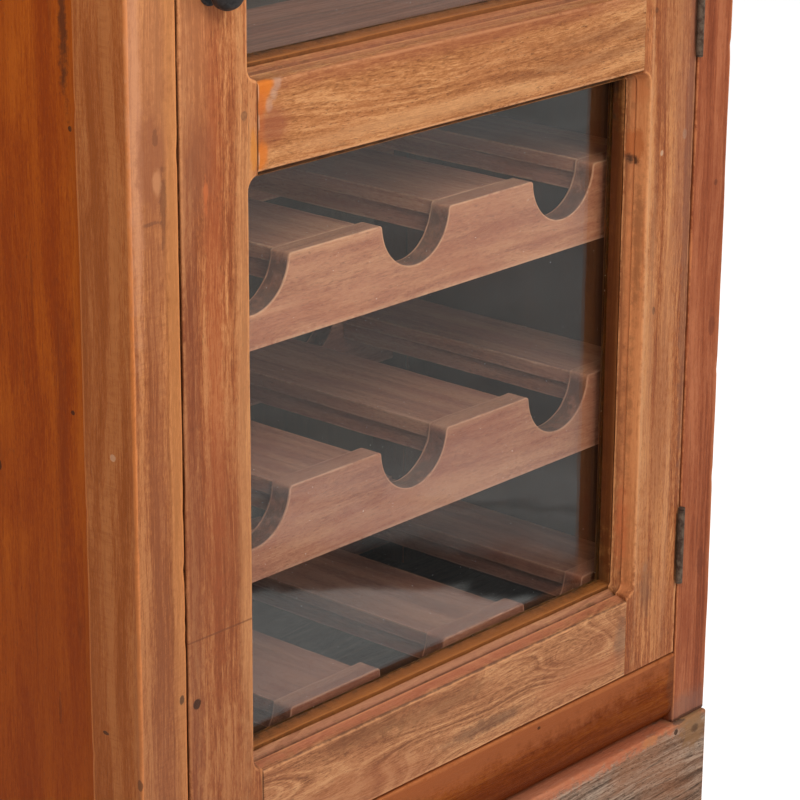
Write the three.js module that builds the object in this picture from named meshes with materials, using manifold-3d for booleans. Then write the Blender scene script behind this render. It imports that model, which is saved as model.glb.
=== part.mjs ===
// Wine cabinet in reclaimed wood, with one framed glass door and three bottle racks behind it.
// Millimetres. X runs to the right, Y to the back and Z up. The origin is on the floor under the middle.
// The pieces are laid out from the front plane of the posts, and the whole is moved to its origin at the end.

import * as THREE from 'three';
import { mergeVertices } from 'three/addons/utils/BufferGeometryUtils.js';
import Module from 'manifold-3d';

const wasm = await Module();
wasm.setup();

// Overall sizes
const cabinetWidth = 748.6;
const cabinetDepth = 400;
const cabinetHeight = 1500;

// Clearances, and how far a cutter runs past the face that it opens
const fit = 0.3;
const doorGap = 3;
const overrun = 5;

// Posts
const postWidth = 50;
const postDepth = 56;

// Plinth boards
const plinthHeight = 110;
const plinthProud = 4;
const plinthSideThickness = 40;
const plinthBackThickness = 40;
const plinthCornerRadius = 9;

// Top board and back panel
const topThickness = 30;
const topOverhang = 15;
const backThickness = 12;
const backRebate = 8;

// Side panels
const panelThickness = 16;
const panelRecess = 4;
const tongueThickness = 8;
const tongueDepth = 8;

// Front rails of the carcase
const frontRailThickness = 40;
const bottomRailHeight = 73;
const topRailHeight = 57;
const bottomRailRound = 22;

// Tenons of all rails
const tenonThickness = 12;
const tenonSetback = 15;
const tenonLength = 30;
const tenonShoulder = 12;

// Shelves and bottom board
const bottomBoardThickness = 18;
const shelfThickness = 22;
const shelfSetback = 58;
const housingDepth = 5;
const dividerTop = 810;
const dividerSeam = 267;
const upperShelfTop = 1140;

// Door frame
const doorThickness = 42;
const lockStileWidth = 71;
const hingeStileWidth = 66;
const doorBottomRailHeight = 76;
const doorTopRailHeight = 76;
const midRailLow = 758;
const midRailHeight = 72;
const jointReach = 10.5;

// Moulded edge of the door's openings: how deep each step lies and how far it stands into the opening
const openingRadius = 12;
const chamferDepth = 2.5;
const chamferInset = 1.2;
const revealDepth = 13;
const revealInset = 4;
const quirkWidth = 2;
const quirkSink = 1.4;
const rebateDepth = 22;
const lipInset = 8;
const rebateReach = 6;
const cornerSteps = 5;

// Panes and beads
const glassThickness = 4;
const glassInset = 1;
const frontBeadInset = 9;
const beadSlope = 3;
const beadCornerRadius = 2;
const frontBeadDepth = 10.7;
const backBeadInset = 10;

// Bottle racks
const rackTop = 669;
const rackPitch = 198;
const rackSetback = 51;
const rackThickness = 22;
const rackHeight = 72;
const rackBackGap = 4;
const notchRadius = 42.5;
const endFlatShare = 0.21545;
const notchEdgeRound = 3.5;
const slatThickness = 13;
const slatInsetLeft = 5;
const slatInsetRight = 9;
const bearerHeight = 18;
const bearerInset = 6;
const closeDrop = 0.5;
const lowDrop = 3;
const notchCount = 3;
const arcSteps = 6;

// Hinges
const hingeHeight = 72;
const hingeInset = 108;
const hingeLeafWidth = 28;
const hingeLeafThickness = 2;
const hingeProud = 2;
const knuckleRadius = 3.4;
const knuckleCount = 5;
const pinRadius = 1.6;
const pinCap = 1.5;
const reliefClearance = 0.6;
const roundSteps = 16;

// Knob
const knobHeight = 906;
const knobFromEdge = 33;
const knobRadius = 13;
const knobStandOff = 17.5;
const knobNeckRadius = 5;
const knobShankRadius = 3;
const knobShankLength = 28;
const roseRadius = 12;
const roseThickness = 2.5;
const knobSteps = 20;

// Magnetic catch and its plate
const catchWidth = 38;
const catchHeight = 14;
const catchDepth = 30;
const catchFromPost = 26;
const plateThickness = 1.5;
const plateOverlap = 3;

// Lines and planes that follow from the sizes above
const halfWidth = cabinetWidth / 2;
const postInner = halfWidth - postWidth;
const topUnder = cabinetHeight - topThickness;
const panelOuter = halfWidth - panelRecess;
const panelInner = panelOuter - panelThickness;
const backPostFront = cabinetDepth - postDepth;
const backPanelFront = cabinetDepth - backThickness;
const bottomRailTop = plinthHeight + bottomRailHeight;
const shelfHalf = panelInner + housingDepth - fit;
const tenonBack = tenonSetback + tenonThickness;
const topRailUnder = topUnder - topRailHeight;

const doorHalf = postInner - doorGap;
const doorLow = bottomRailTop + doorGap;
const doorHigh = topRailUnder - doorGap;
const arrisLeft = -doorHalf + lockStileWidth;
const arrisRight = doorHalf - hingeStileWidth;
const midRailHigh = midRailLow + midRailHeight;
const lowerPane = { left: arrisLeft, right: arrisRight, low: doorLow + doorBottomRailHeight, high: midRailLow };
const upperPane = { left: arrisLeft, right: arrisRight, low: midRailHigh, high: doorHigh - doorTopRailHeight };
const frontBeadBack = rebateDepth + fit + frontBeadDepth;
const glassFront = frontBeadBack + fit;
const glassBack = glassFront + glassThickness;

const rackBackFace = backPanelFront - rackBackGap;
const rackBackFront = rackBackFace - rackThickness;
const slatDrops = [closeDrop, lowDrop, lowDrop];

// The wood that the notches leave on a rack board is shared among its end flats and the flats between
const rackWoodLeft = 2 * postInner - notchCount * 2 * notchRadius;
const endFlat = endFlatShare * rackWoodLeft;
const middleFlat = (rackWoodLeft - 2 * endFlat) / (notchCount - 1);
const notchPitch = middleFlat + 2 * notchRadius;

const pinX = postInner - doorGap / 2;
const pinY = -hingeProud;
const hingeMiddles = [doorLow + hingeInset, (doorLow + doorHigh) / 2, doorHigh - hingeInset];
const hingeNames = ['lower', 'middle', 'upper'];
const knobX = -doorHalf + knobFromEdge;
const frontReach = knobStandOff + knobRadius;

// Finishes, with their colours as seen
function wood(colour, roughness) {
  return new THREE.MeshStandardMaterial({ color: colour, roughness, metalness: 0 });
}

const postWood = wood(0xa8703f, 0.55);
const panelWood = wood(0xa4582a, 0.5);
const doorWood = wood(0xb0743f, 0.5);
const plinthWood = wood(0x786456, 0.8);
const rackWood = wood(0x9c7258, 0.6);
const insideWood = wood(0x6b6059, 0.75);
const glass = new THREE.MeshStandardMaterial({
  color: 0xdfe8e4, roughness: 0.05, metalness: 0, transparent: true, opacity: 0.25,
});
const darkIron = new THREE.MeshStandardMaterial({ color: 0x3e3a37, roughness: 0.55, metalness: 0.8 });
const agedSteel = new THREE.MeshStandardMaterial({ color: 0x6f655c, roughness: 0.5, metalness: 0.8 });
const catchPaint = new THREE.MeshStandardMaterial({ color: 0x4a4038, roughness: 0.6, metalness: 0.1 });

// A closed geometry as a solid that can be joined and cut
function solid(geometry) {
  geometry.deleteAttribute('normal');
  geometry.deleteAttribute('uv');
  const merged = mergeVertices(geometry);
  const vertProperties = new Float32Array(merged.attributes.position.array);
  const triVerts = new Uint32Array(merged.index.array);
  return new wasm.Manifold(new wasm.Mesh({ numProp: 3, vertProperties, triVerts }));
}

// A named piece, from a solid and its finish
function piece(name, body, finish) {
  const { vertProperties, triVerts } = body.getMesh();
  const geometry = new THREE.BufferGeometry();
  geometry.setAttribute('position', new THREE.BufferAttribute(vertProperties, 3));
  geometry.setIndex(new THREE.BufferAttribute(triVerts, 1));
  geometry.computeVertexNormals();
  const mesh = new THREE.Mesh(geometry, finish);
  mesh.name = name;
  return mesh;
}

// A block between two planes on each axis, each pair given as [low, high]
function block([x0, x1], [y0, y1], [z0, z1]) {
  const box = new THREE.BoxGeometry(x1 - x0, y1 - y0, z1 - z0);
  box.translate((x0 + x1) / 2, (y0 + y1) / 2, (z0 + z1) / 2);
  return solid(box);
}

// A block that is centred on the middle of the cabinet in X
function centredBlock(half, ySpan, zSpan) {
  return block([-half, half], ySpan, zSpan);
}

// An outline in X and Z, as a board that is thick along Y
function boardOf(outline, [y0, y1]) {
  const board = new THREE.ExtrudeGeometry(outline, {
    depth: y1 - y0, bevelEnabled: false, curveSegments: arcSteps,
  });
  board.rotateX(Math.PI / 2);
  board.translate(0, y1, 0);
  return solid(board);
}

// An outline in Y and Z, as a rail that is long along X
function railOf(outline, [x0, x1]) {
  const rail = new THREE.ExtrudeGeometry(outline, {
    depth: x1 - x0, bevelEnabled: false, curveSegments: arcSteps,
  });
  const alongX = new THREE.Vector3(1, 0, 0);
  const alongY = new THREE.Vector3(0, 1, 0);
  const alongZ = new THREE.Vector3(0, 0, 1);
  rail.applyMatrix4(new THREE.Matrix4().makeBasis(alongY, alongZ, alongX));
  rail.translate(x0, 0, 0);
  return solid(rail);
}

// An upright cylinder
function uprightCylinder(radius, x, y, [z0, z1]) {
  const cylinder = new THREE.CylinderGeometry(radius, radius, z1 - z0, roundSteps);
  cylinder.rotateX(Math.PI / 2);
  cylinder.translate(x, y, (z0 + z1) / 2);
  return solid(cylinder);
}

// A turned piece on an axis along Y, from rows of [radius, y] that start and end on the axis
function turned(rows, x, z) {
  const profile = rows.map(([radius, y]) => new THREE.Vector2(radius, y));
  const lathe = new THREE.LatheGeometry(profile, knobSteps);
  lathe.translate(x, 0, z);
  return solid(lathe);
}

// The same solid on the other side of the cabinet
function mirrored(body) {
  return body.mirror([1, 0, 0]);
}

// One ring of a pane's opening, with rounded corners, as points [x, z] that go round once
function paneRing(pane, inset, radius) {
  const left = pane.left + inset + radius;
  const right = pane.right - inset - radius;
  const low = pane.low + inset + radius;
  const high = pane.high - inset - radius;
  const middles = [[right, high], [left, high], [left, low], [right, low]];
  return middles.flatMap(([x, z], corner) => {
    const points = [];
    for (let step = 0; step <= cornerSteps; step += 1) {
      const turn = (corner + step / cornerSteps) * (Math.PI / 2);
      points.push([x + radius * Math.cos(turn), z + radius * Math.sin(turn)]);
    }
    return points;
  });
}

// A plug that fills a pane's opening: rings at the given depths, each with its own inset and corner radius
function panePlug(pane, rows) {
  const rings = rows.map(([depth, inset, radius]) => ({ depth, points: paneRing(pane, inset, radius) }));
  const count = rings[0].points.length;
  const positions = rings.flatMap(({ depth, points }) => points.flatMap(([x, z]) => [x, depth, z]));
  const faces = [];
  const last = (rings.length - 1) * count;
  for (let k = 0; k < count; k += 1) {
    const next = (k + 1) % count;
    for (let row = 0; row < last; row += count) {
      faces.push(row + k, row + count + next, row + next);
      faces.push(row + k, row + count + k, row + count + next);
    }
    if (k > 0 && next > 0) {
      faces.push(0, k, next);
      faces.push(last, last + next, last + k);
    }
  }
  const plug = new THREE.BufferGeometry();
  plug.setAttribute('position', new THREE.Float32BufferAttribute(positions, 3));
  plug.setIndex(faces);
  return solid(plug);
}

// The moulded cut of one pane, with the rebate behind it that takes the beads and the glass
function paneCut(pane) {
  const insetRows = [
    [-overrun, 0],
    [0, 0],
    [chamferDepth, chamferInset],
    [revealDepth, revealInset],
    [revealDepth + quirkWidth / 2, revealInset - quirkSink],
    [revealDepth + quirkWidth, revealInset],
    [rebateDepth, lipInset],
    [rebateDepth + overrun, lipInset],
  ];
  const moulding = panePlug(pane, insetRows.map(([depth, inset]) => [depth, inset, openingRadius - inset]));
  const rebate = block(
    [pane.left - rebateReach, pane.right + rebateReach],
    [rebateDepth, doorThickness + overrun],
    [pane.low - rebateReach, pane.high + rebateReach],
  );
  return moulding.add(rebate);
}

// The outer edge of what lies in a pane's rebate, set in from the rebate's walls
function rebateFill(pane, ySpan, inset) {
  const reach = rebateReach - inset;
  return block(
    [pane.left - reach, pane.right + reach],
    ySpan,
    [pane.low - reach, pane.high + reach],
  );
}

// The low and high ends of a rail's tenon
function tenonSpan([low, high]) {
  return [low + tenonShoulder, high - tenonShoulder];
}

// A carcase rail between the front posts, with a tenon on each end
function carcaseRail(body, zSpan) {
  const tenon = centredBlock(postInner + tenonLength, [tenonSetback, tenonBack], tenonSpan(zSpan));
  return body.add(tenon);
}

// The hole for a tenon, with clearance all round
function mortise([x0, x1], [z0, z1]) {
  return block([x0 - fit, x1 + fit], [tenonSetback - fit, tenonBack + fit], [z0 - fit, z1 + fit]);
}

const frontRailSpans = [[plinthHeight + fit, bottomRailTop], [topRailUnder, topUnder - fit]];
const doorRailSpans = [[doorLow, lowerPane.low], [midRailLow, midRailHigh], [upperPane.high, doorHigh]];

// Hinges

// The parts of a hinge's height that one leaf's knuckles take: every second one, from the given one on
function knuckleSpans(middle, first) {
  const step = hingeHeight / knuckleCount;
  const spans = [];
  for (let k = first; k < knuckleCount; k += 2) {
    const low = middle - hingeHeight / 2 + k * step;
    spans.push([low, low + step]);
  }
  return spans;
}

// One leaf, to the left or right of the pin, with its own knuckles and room for the other leaf's
function hingeLeaf(middle, side, ownFirst, otherFirst) {
  const flank = [pinX + side * (fit / 2), pinX + side * (fit / 2 + hingeLeafThickness)];
  const zSpan = [middle - hingeHeight / 2, middle + hingeHeight / 2];
  let leaf = block([Math.min(...flank), Math.max(...flank)], [pinY, hingeLeafWidth], zSpan);
  for (const [low, high] of knuckleSpans(middle, ownFirst)) {
    leaf = leaf.add(uprightCylinder(knuckleRadius, pinX, pinY, [low + fit / 2, high - fit / 2]));
  }
  for (const [low, high] of knuckleSpans(middle, otherFirst)) {
    leaf = leaf.subtract(uprightCylinder(knuckleRadius + fit, pinX, pinY, [low - fit / 2, high + fit / 2]));
  }
  const bore = uprightCylinder(pinRadius + fit, pinX, pinY, [zSpan[0] - overrun, zSpan[1] + overrun]);
  return leaf.subtract(bore);
}

// The pin, with a cap on each end that keeps it in the knuckles
function hingePin(middle) {
  const low = middle - hingeHeight / 2 - fit;
  const high = middle + hingeHeight / 2 + fit;
  return uprightCylinder(pinRadius, pinX, pinY, [low - pinCap, high + pinCap])
    .add(uprightCylinder(knuckleRadius, pinX, pinY, [low - pinCap, low]))
    .add(uprightCylinder(knuckleRadius, pinX, pinY, [high, high + pinCap]));
}

// The seat that one hinge needs in the wood: shallow mortises for both leaves and a round relief at the pin
function hingeSeat(middle) {
  const reach = hingeLeafThickness + fit / 2 + fit;
  const half = hingeHeight / 2 + fit;
  const capHalf = half + pinCap + fit;
  return block([pinX - reach, pinX + reach], [-overrun, hingeLeafWidth + fit], [middle - half, middle + half])
    .add(uprightCylinder(knuckleRadius + reliefClearance, pinX, pinY, [middle - capHalf, middle + capHalf]));
}

// Carcase

function postFront() {
  const grooveHalf = tongueThickness / 2 + fit;
  const panelMiddle = (panelInner + panelOuter) / 2;
  let post = block([postInner, halfWidth], [0, postDepth], [plinthHeight + fit, topUnder - fit]);
  post = post.subtract(block(
    [panelMiddle - grooveHalf, panelMiddle + grooveHalf],
    [postDepth - tongueDepth - fit, postDepth + overrun],
    [plinthHeight, topUnder],
  ));
  for (const span of frontRailSpans) {
    post = post.subtract(mortise([postInner - overrun, postInner + tenonLength], tenonSpan(span)));
  }
  return post;
}

function postFrontRight() {
  return hingeMiddles.reduce((post, middle) => post.subtract(hingeSeat(middle)), postFront());
}

function postBack() {
  const grooveHalf = tongueThickness / 2 + fit;
  const panelMiddle = (panelInner + panelOuter) / 2;
  const post = block([postInner, halfWidth], [backPostFront, cabinetDepth], [plinthHeight + fit, topUnder - fit]);
  const groove = block(
    [panelMiddle - grooveHalf, panelMiddle + grooveHalf],
    [backPostFront - overrun, backPostFront + tongueDepth + fit],
    [plinthHeight, topUnder],
  );
  const rebate = block(
    [postInner - overrun, postInner + backRebate],
    [backPanelFront - fit, cabinetDepth + overrun],
    [plinthHeight, topUnder],
  );
  return post.subtract(groove).subtract(rebate);
}

const housings = [
  [bottomRailTop - bottomBoardThickness, bottomRailTop],
  [dividerTop - shelfThickness, dividerTop],
  [upperShelfTop - shelfThickness, upperShelfTop],
];

// The right side panel: a board with a tongue at each post, and housings for the ends of the shelves
function sidePanel() {
  const zSpan = [plinthHeight + fit, topUnder - fit];
  const panelMiddle = (panelInner + panelOuter) / 2;
  const ySpan = [postDepth + fit, backPostFront - fit];
  const tongue = block(
    [panelMiddle - tongueThickness / 2, panelMiddle + tongueThickness / 2],
    [postDepth - tongueDepth, backPostFront + tongueDepth],
    zSpan,
  );
  const board = block([panelInner, panelOuter], ySpan, zSpan).add(tongue);
  return housings.reduce((panel, [low, high]) => panel.subtract(block(
    [panelInner - overrun, panelInner + housingDepth],
    [postDepth - overrun, backPostFront + overrun],
    [low - fit, high + fit],
  )), board);
}

// A shelf board between two depths, cut round the posts that it meets
function shelfBoard([y0, y1], [low, high]) {
  const zCut = [low - overrun, high + overrun];
  const outer = halfWidth + overrun;
  let board = centredBlock(shelfHalf, [y0, y1], [low, high]);
  for (const [from, to] of [[-overrun, postDepth + fit], [backPostFront - fit, cabinetDepth + overrun]]) {
    const corner = block([postInner - fit, outer], [from, to], zCut);
    board = board.subtract(corner).subtract(mirrored(corner));
  }
  return board;
}

function frontBottomRail() {
  const low = plinthHeight + fit;
  const outline = new THREE.Shape();
  outline.moveTo(0, bottomRailTop);
  outline.lineTo(0, low + bottomRailRound);
  outline.absarc(bottomRailRound, low + bottomRailRound, bottomRailRound, Math.PI, Math.PI * 1.5, false);
  outline.lineTo(frontRailThickness, low);
  outline.lineTo(frontRailThickness, bottomRailTop);
  const half = postInner - fit;
  return carcaseRail(railOf(outline, [-half, half]), frontRailSpans[0]);
}

function frontTopRail() {
  const rail = centredBlock(postInner - fit, [0, frontRailThickness], frontRailSpans[1]);
  return carcaseRail(rail, frontRailSpans[1]);
}

// The front board of the plinth, with its two lower corners worn round
function plinthFront() {
  const r = plinthCornerRadius;
  const outline = new THREE.Shape();
  outline.moveTo(-halfWidth, plinthHeight);
  outline.lineTo(-halfWidth, r);
  outline.absarc(-halfWidth + r, r, r, Math.PI, Math.PI * 1.5, false);
  outline.absarc(halfWidth - r, r, r, Math.PI * 1.5, Math.PI * 2, false);
  outline.lineTo(halfWidth, plinthHeight);
  return boardOf(outline, [-plinthProud, postDepth]);
}

function plinthSide() {
  const inner = halfWidth - plinthSideThickness;
  return block([inner, halfWidth], [postDepth + fit, cabinetDepth], [0, plinthHeight]);
}

function plinthBack() {
  const half = halfWidth - plinthSideThickness - fit;
  return centredBlock(half, [cabinetDepth - plinthBackThickness, cabinetDepth], [0, plinthHeight]);
}

function backPanel() {
  const half = postInner + backRebate - fit;
  return centredBlock(half, [backPanelFront, cabinetDepth], [plinthHeight + fit, topUnder - fit]);
}

function topBoard() {
  const half = halfWidth + topOverhang;
  return centredBlock(half, [-topOverhang, cabinetDepth], [topUnder, cabinetHeight]);
}

// The magnet hangs under the front edge of the divider, a plate's reach behind the door
function catchMagnet() {
  const high = dividerTop - shelfThickness - fit;
  const left = -postInner + catchFromPost;
  const front = doorThickness + fit + plateThickness + fit;
  return block([left, left + catchWidth], [front, front + catchDepth], [high - catchHeight, high]);
}

function strikePlate() {
  const high = dividerTop - shelfThickness - fit;
  const left = -postInner + catchFromPost;
  const front = doorThickness + fit;
  return block(
    [left, left + catchWidth],
    [front, front + plateThickness],
    [high - catchHeight - plateOverlap, high + plateOverlap],
  );
}

// Racks

// The outline of a rack board: a straight board with half-round notches in its top, eased at their edges
function rackOutline(top) {
  const half = postInner - fit;
  const rise = Math.asin(notchEdgeRound / (notchRadius + notchEdgeRound));
  const shift = (notchRadius + notchEdgeRound) * Math.cos(rise);
  const outline = new THREE.Shape();
  outline.moveTo(-half, top - rackHeight);
  outline.lineTo(-half, top);
  for (const middle of notchMiddles()) {
    outline.absarc(middle - shift, top - notchEdgeRound, notchEdgeRound, Math.PI / 2, rise, true);
    outline.absarc(middle, top, notchRadius, Math.PI + rise, Math.PI * 2 - rise, false);
    outline.absarc(middle + shift, top - notchEdgeRound, notchEdgeRound, Math.PI - rise, Math.PI / 2, true);
  }
  outline.lineTo(half, top);
  outline.lineTo(half, top - rackHeight);
  return outline;
}

function notchMiddles() {
  return Array.from({ length: notchCount }, (_, k) => (k - (notchCount - 1) / 2) * notchPitch);
}

// The front board stands between the posts, and the back half of its thickness laps behind them
function rackFrontBoard(top) {
  const back = rackSetback + rackThickness;
  const lap = centredBlock(panelInner - fit, [postDepth + fit, back], [top - rackHeight, top]);
  const trim = centredBlock(postInner - fit, [postDepth, back + overrun], [top - rackHeight - overrun, top + overrun]);
  return boardOf(rackOutline(top), [rackSetback, back]).add(lap.subtract(trim));
}

function rackBackBoard(top) {
  return boardOf(rackOutline(top), [rackBackFront, rackBackFace]);
}

// The slats lie on the flats between the notches, each with a bearer under its middle
function rackSlats(top) {
  const ends = notchMiddles();
  const lefts = [-postInner + fit, ...ends.map((x) => x + notchRadius + slatInsetLeft)];
  const rights = [...ends.map((x) => x - notchRadius - slatInsetRight), postInner - fit];
  const ySpan = [rackSetback + rackThickness + fit, rackBackFront - fit];
  const under = top - slatThickness;
  return lefts.map((left, k) => {
    const right = rights[k];
    const slat = block([left, right], ySpan, [under, top]);
    const bearer = block([left + bearerInset, right - bearerInset], ySpan, [under - bearerHeight, under]);
    return slat.add(bearer);
  });
}

// Door

// A door member is cut by the panes that it borders
function shaped(member) {
  return member.subtract(paneCut(lowerPane)).subtract(paneCut(upperPane));
}

function lockStile() {
  const edge = arrisLeft + jointReach;
  let stile = block([-doorHalf, edge], [0, doorThickness], [doorLow, doorHigh]);
  for (const span of doorRailSpans) {
    stile = stile.subtract(mortise([edge - tenonLength, edge + overrun], tenonSpan(span)));
  }
  const shankHole = turned([
    [0, -overrun],
    [knobShankRadius + fit, -overrun],
    [knobShankRadius + fit, knobShankLength + fit],
    [0, knobShankLength + fit],
  ], knobX, knobHeight);
  return shaped(stile).subtract(shankHole);
}

function hingeStile() {
  const edge = arrisRight - jointReach;
  let stile = block([edge, doorHalf], [0, doorThickness], [doorLow, doorHigh]);
  for (const span of doorRailSpans) {
    stile = stile.subtract(mortise([edge - overrun, edge + tenonLength], tenonSpan(span)));
  }
  return hingeMiddles.reduce((cut, middle) => cut.subtract(hingeSeat(middle)), shaped(stile));
}

// A door rail fills the space between the stiles, and reaches into the panes that it borders
function doorRail([low, high], reachDown, reachUp) {
  const left = arrisLeft + jointReach + fit;
  const right = arrisRight - jointReach - fit;
  const rail = block([left, right], [0, doorThickness], [low - reachDown, high + reachUp]);
  const tenon = block(
    [left - tenonLength, right + tenonLength],
    [tenonSetback, tenonBack],
    tenonSpan([low, high]),
  );
  return shaped(rail).add(tenon);
}

function paneGlass(pane) {
  return rebateFill(pane, [glassFront, glassBack], glassInset);
}

function frontBead(pane) {
  const ySpan = [rebateDepth + fit, frontBeadBack];
  const far = frontBeadInset + beadSlope;
  return rebateFill(pane, ySpan, fit).subtract(panePlug(pane, [
    [rebateDepth - overrun, frontBeadInset, beadCornerRadius],
    [rebateDepth + fit, frontBeadInset, beadCornerRadius],
    [frontBeadBack, far, beadCornerRadius],
    [frontBeadBack + overrun, far, beadCornerRadius],
  ]));
}

function backBead(pane) {
  const ySpan = [glassBack + fit, doorThickness];
  const far = backBeadInset + beadSlope;
  return rebateFill(pane, ySpan, fit).subtract(panePlug(pane, [
    [glassBack - overrun, far, beadCornerRadius],
    [glassBack + fit, far, beadCornerRadius],
    [doorThickness, backBeadInset, beadCornerRadius],
    [doorThickness + overrun, backBeadInset, beadCornerRadius],
  ]));
}

// The knob is a ball on a neck, with a shank that screws into the stile
function knob() {
  const rows = [[0, -knobStandOff - knobRadius]];
  const neckTurn = Math.asin(knobNeckRadius / knobRadius);
  const steps = knobSteps / 2;
  for (let step = 1; step <= steps; step += 1) {
    const turn = (step / steps) * (Math.PI - neckTurn);
    rows.push([knobRadius * Math.sin(turn), -knobStandOff - knobRadius * Math.cos(turn)]);
  }
  rows.push([knobNeckRadius, -roseThickness - fit - fit]);
  rows.push([knobShankRadius, -roseThickness - fit - fit]);
  rows.push([knobShankRadius, knobShankLength]);
  rows.push([0, knobShankLength]);
  return turned(rows, knobX, knobHeight);
}

function knobRose() {
  const inner = knobShankRadius + fit;
  return turned([
    [inner, -roseThickness - fit],
    [roseRadius - roseThickness / 2, -roseThickness - fit],
    [roseRadius, -fit],
    [inner, -fit],
    [inner, -roseThickness - fit],
  ], knobX, knobHeight);
}

// The whole cabinet, carcase first and then the door with what it carries
const rightSide = sidePanel();
const rearPost = postBack();
const plinthEnd = plinthSide();
const dividerSpan = [dividerTop - shelfThickness, dividerTop];
const shelfBack = backPanelFront - fit;

const carcase = new THREE.Group();
carcase.add(
  piece('post_front_left', mirrored(postFront()), postWood),
  piece('post_front_right', postFrontRight(), postWood),
  piece('post_back_left', mirrored(rearPost), postWood),
  piece('post_back_right', rearPost, postWood),
  piece('rail_front_bottom', frontBottomRail(), postWood),
  piece('rail_front_top', frontTopRail(), postWood),
  piece('side_panel_left', mirrored(rightSide), panelWood),
  piece('side_panel_right', rightSide, panelWood),
  piece('back_panel', backPanel(), insideWood),
  piece('bottom_board', shelfBoard([frontRailThickness + fit, shelfBack], housings[0]), insideWood),
  piece('divider_board_front', shelfBoard([shelfSetback, dividerSeam], dividerSpan), insideWood),
  piece('divider_board_back', shelfBoard([dividerSeam + fit, shelfBack], dividerSpan), insideWood),
  piece('upper_shelf', shelfBoard([shelfSetback, shelfBack], housings[2]), insideWood),
  piece('top_board', topBoard(), postWood),
  piece('plinth_front', plinthFront(), plinthWood),
  piece('plinth_left', mirrored(plinthEnd), plinthWood),
  piece('plinth_right', plinthEnd, plinthWood),
  piece('plinth_back', plinthBack(), plinthWood),
  piece('catch_magnet', catchMagnet(), catchPaint),
);

slatDrops.forEach((drop, k) => {
  const top = rackTop - k * rackPitch;
  const name = `rack_${k + 1}`;
  carcase.add(piece(`${name}_front_board`, rackFrontBoard(top), rackWood));
  carcase.add(piece(`${name}_back_board`, rackBackBoard(top), rackWood));
  rackSlats(top - drop).forEach((slat, n) => {
    carcase.add(piece(`${name}_slat_${n + 1}`, slat, rackWood));
  });
});

const door = new THREE.Group();
door.add(
  piece('door_stile_lock', lockStile(), doorWood),
  piece('door_stile_hinge', hingeStile(), doorWood),
  piece('door_rail_bottom', doorRail(doorRailSpans[0], 0, jointReach), doorWood),
  piece('door_rail_middle', doorRail(doorRailSpans[1], jointReach, jointReach), doorWood),
  piece('door_rail_top', doorRail(doorRailSpans[2], jointReach, 0), doorWood),
  piece('pane_lower', paneGlass(lowerPane), glass),
  piece('pane_upper', paneGlass(upperPane), glass),
  piece('bead_front_lower', frontBead(lowerPane), doorWood),
  piece('bead_front_upper', frontBead(upperPane), doorWood),
  piece('bead_back_lower', backBead(lowerPane), doorWood),
  piece('bead_back_upper', backBead(upperPane), doorWood),
  piece('knob', knob(), darkIron),
  piece('knob_rose', knobRose(), darkIron),
  piece('strike_plate', strikePlate(), agedSteel),
);

hingeMiddles.forEach((middle, k) => {
  const name = `hinge_${hingeNames[k]}`;
  carcase.add(piece(`${name}_frame_leaf`, hingeLeaf(middle, 1, 0, 1), agedSteel));
  carcase.add(piece(`${name}_pin`, hingePin(middle), agedSteel));
  door.add(piece(`${name}_door_leaf`, hingeLeaf(middle, -1, 1, 0), agedSteel));
});

// The middle of the whole, from the knob to the back, is set over the origin
const cabinet = new THREE.Group();
cabinet.position.y = (frontReach - cabinetDepth) / 2;
cabinet.add(carcase, door);

export default cabinet;
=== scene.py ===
import logging
import math
from collections.abc import Iterable
from dataclasses import dataclass, field, replace
from enum import Enum

import bpy
import numpy as np
from mathutils import Matrix, Vector


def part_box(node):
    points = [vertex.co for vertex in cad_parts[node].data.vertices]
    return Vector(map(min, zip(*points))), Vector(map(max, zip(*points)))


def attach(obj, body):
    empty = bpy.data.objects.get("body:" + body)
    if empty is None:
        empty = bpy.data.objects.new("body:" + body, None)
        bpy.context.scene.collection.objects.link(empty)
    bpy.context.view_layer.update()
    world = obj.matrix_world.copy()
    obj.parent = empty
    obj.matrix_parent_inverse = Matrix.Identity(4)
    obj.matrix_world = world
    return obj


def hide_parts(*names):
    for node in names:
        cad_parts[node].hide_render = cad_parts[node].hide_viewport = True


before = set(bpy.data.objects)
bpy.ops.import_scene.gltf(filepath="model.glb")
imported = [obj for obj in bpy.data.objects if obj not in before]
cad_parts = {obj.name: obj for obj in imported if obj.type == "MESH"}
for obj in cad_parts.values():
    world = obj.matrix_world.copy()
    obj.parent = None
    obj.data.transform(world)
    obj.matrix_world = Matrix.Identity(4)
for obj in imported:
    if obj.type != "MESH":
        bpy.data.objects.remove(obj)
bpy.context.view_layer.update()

log = logging.getLogger("wine_cabinet")

MM = 0.001
Colour = tuple[float, float, float, float]
Pair = tuple[float, float]
Triple = tuple[float, float, float]

# The front plane of the posts, from which depths are counted
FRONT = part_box("post_front_left")[0].y

# How far apart the rows of a swept board lie, and how many steps round an eased corner
ROW_STEP = 6 * MM
EASE_STEPS = 4
SHARES = np.linspace(0, 1, EASE_STEPS + 1)

# The angle past which the faces of a piece meet in a sharp line
SHARP = math.radians(42)

# The least and the greatest part of the step that parts the figures of two pieces, in metres
STEP_LEAST = np.array([0.09, 0.05, 0.0])
STEP_MORE = np.array([0.05, 0.05, 2.0])

# The most of a side that the ease of a corner may take, and with the fading of its wear
EASE_MOST = 0.42
FADE_MOST = 0.46

# How far along each side the middle point of a corner of few points lies, as a share of its ease
CUT = 0.3


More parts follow.
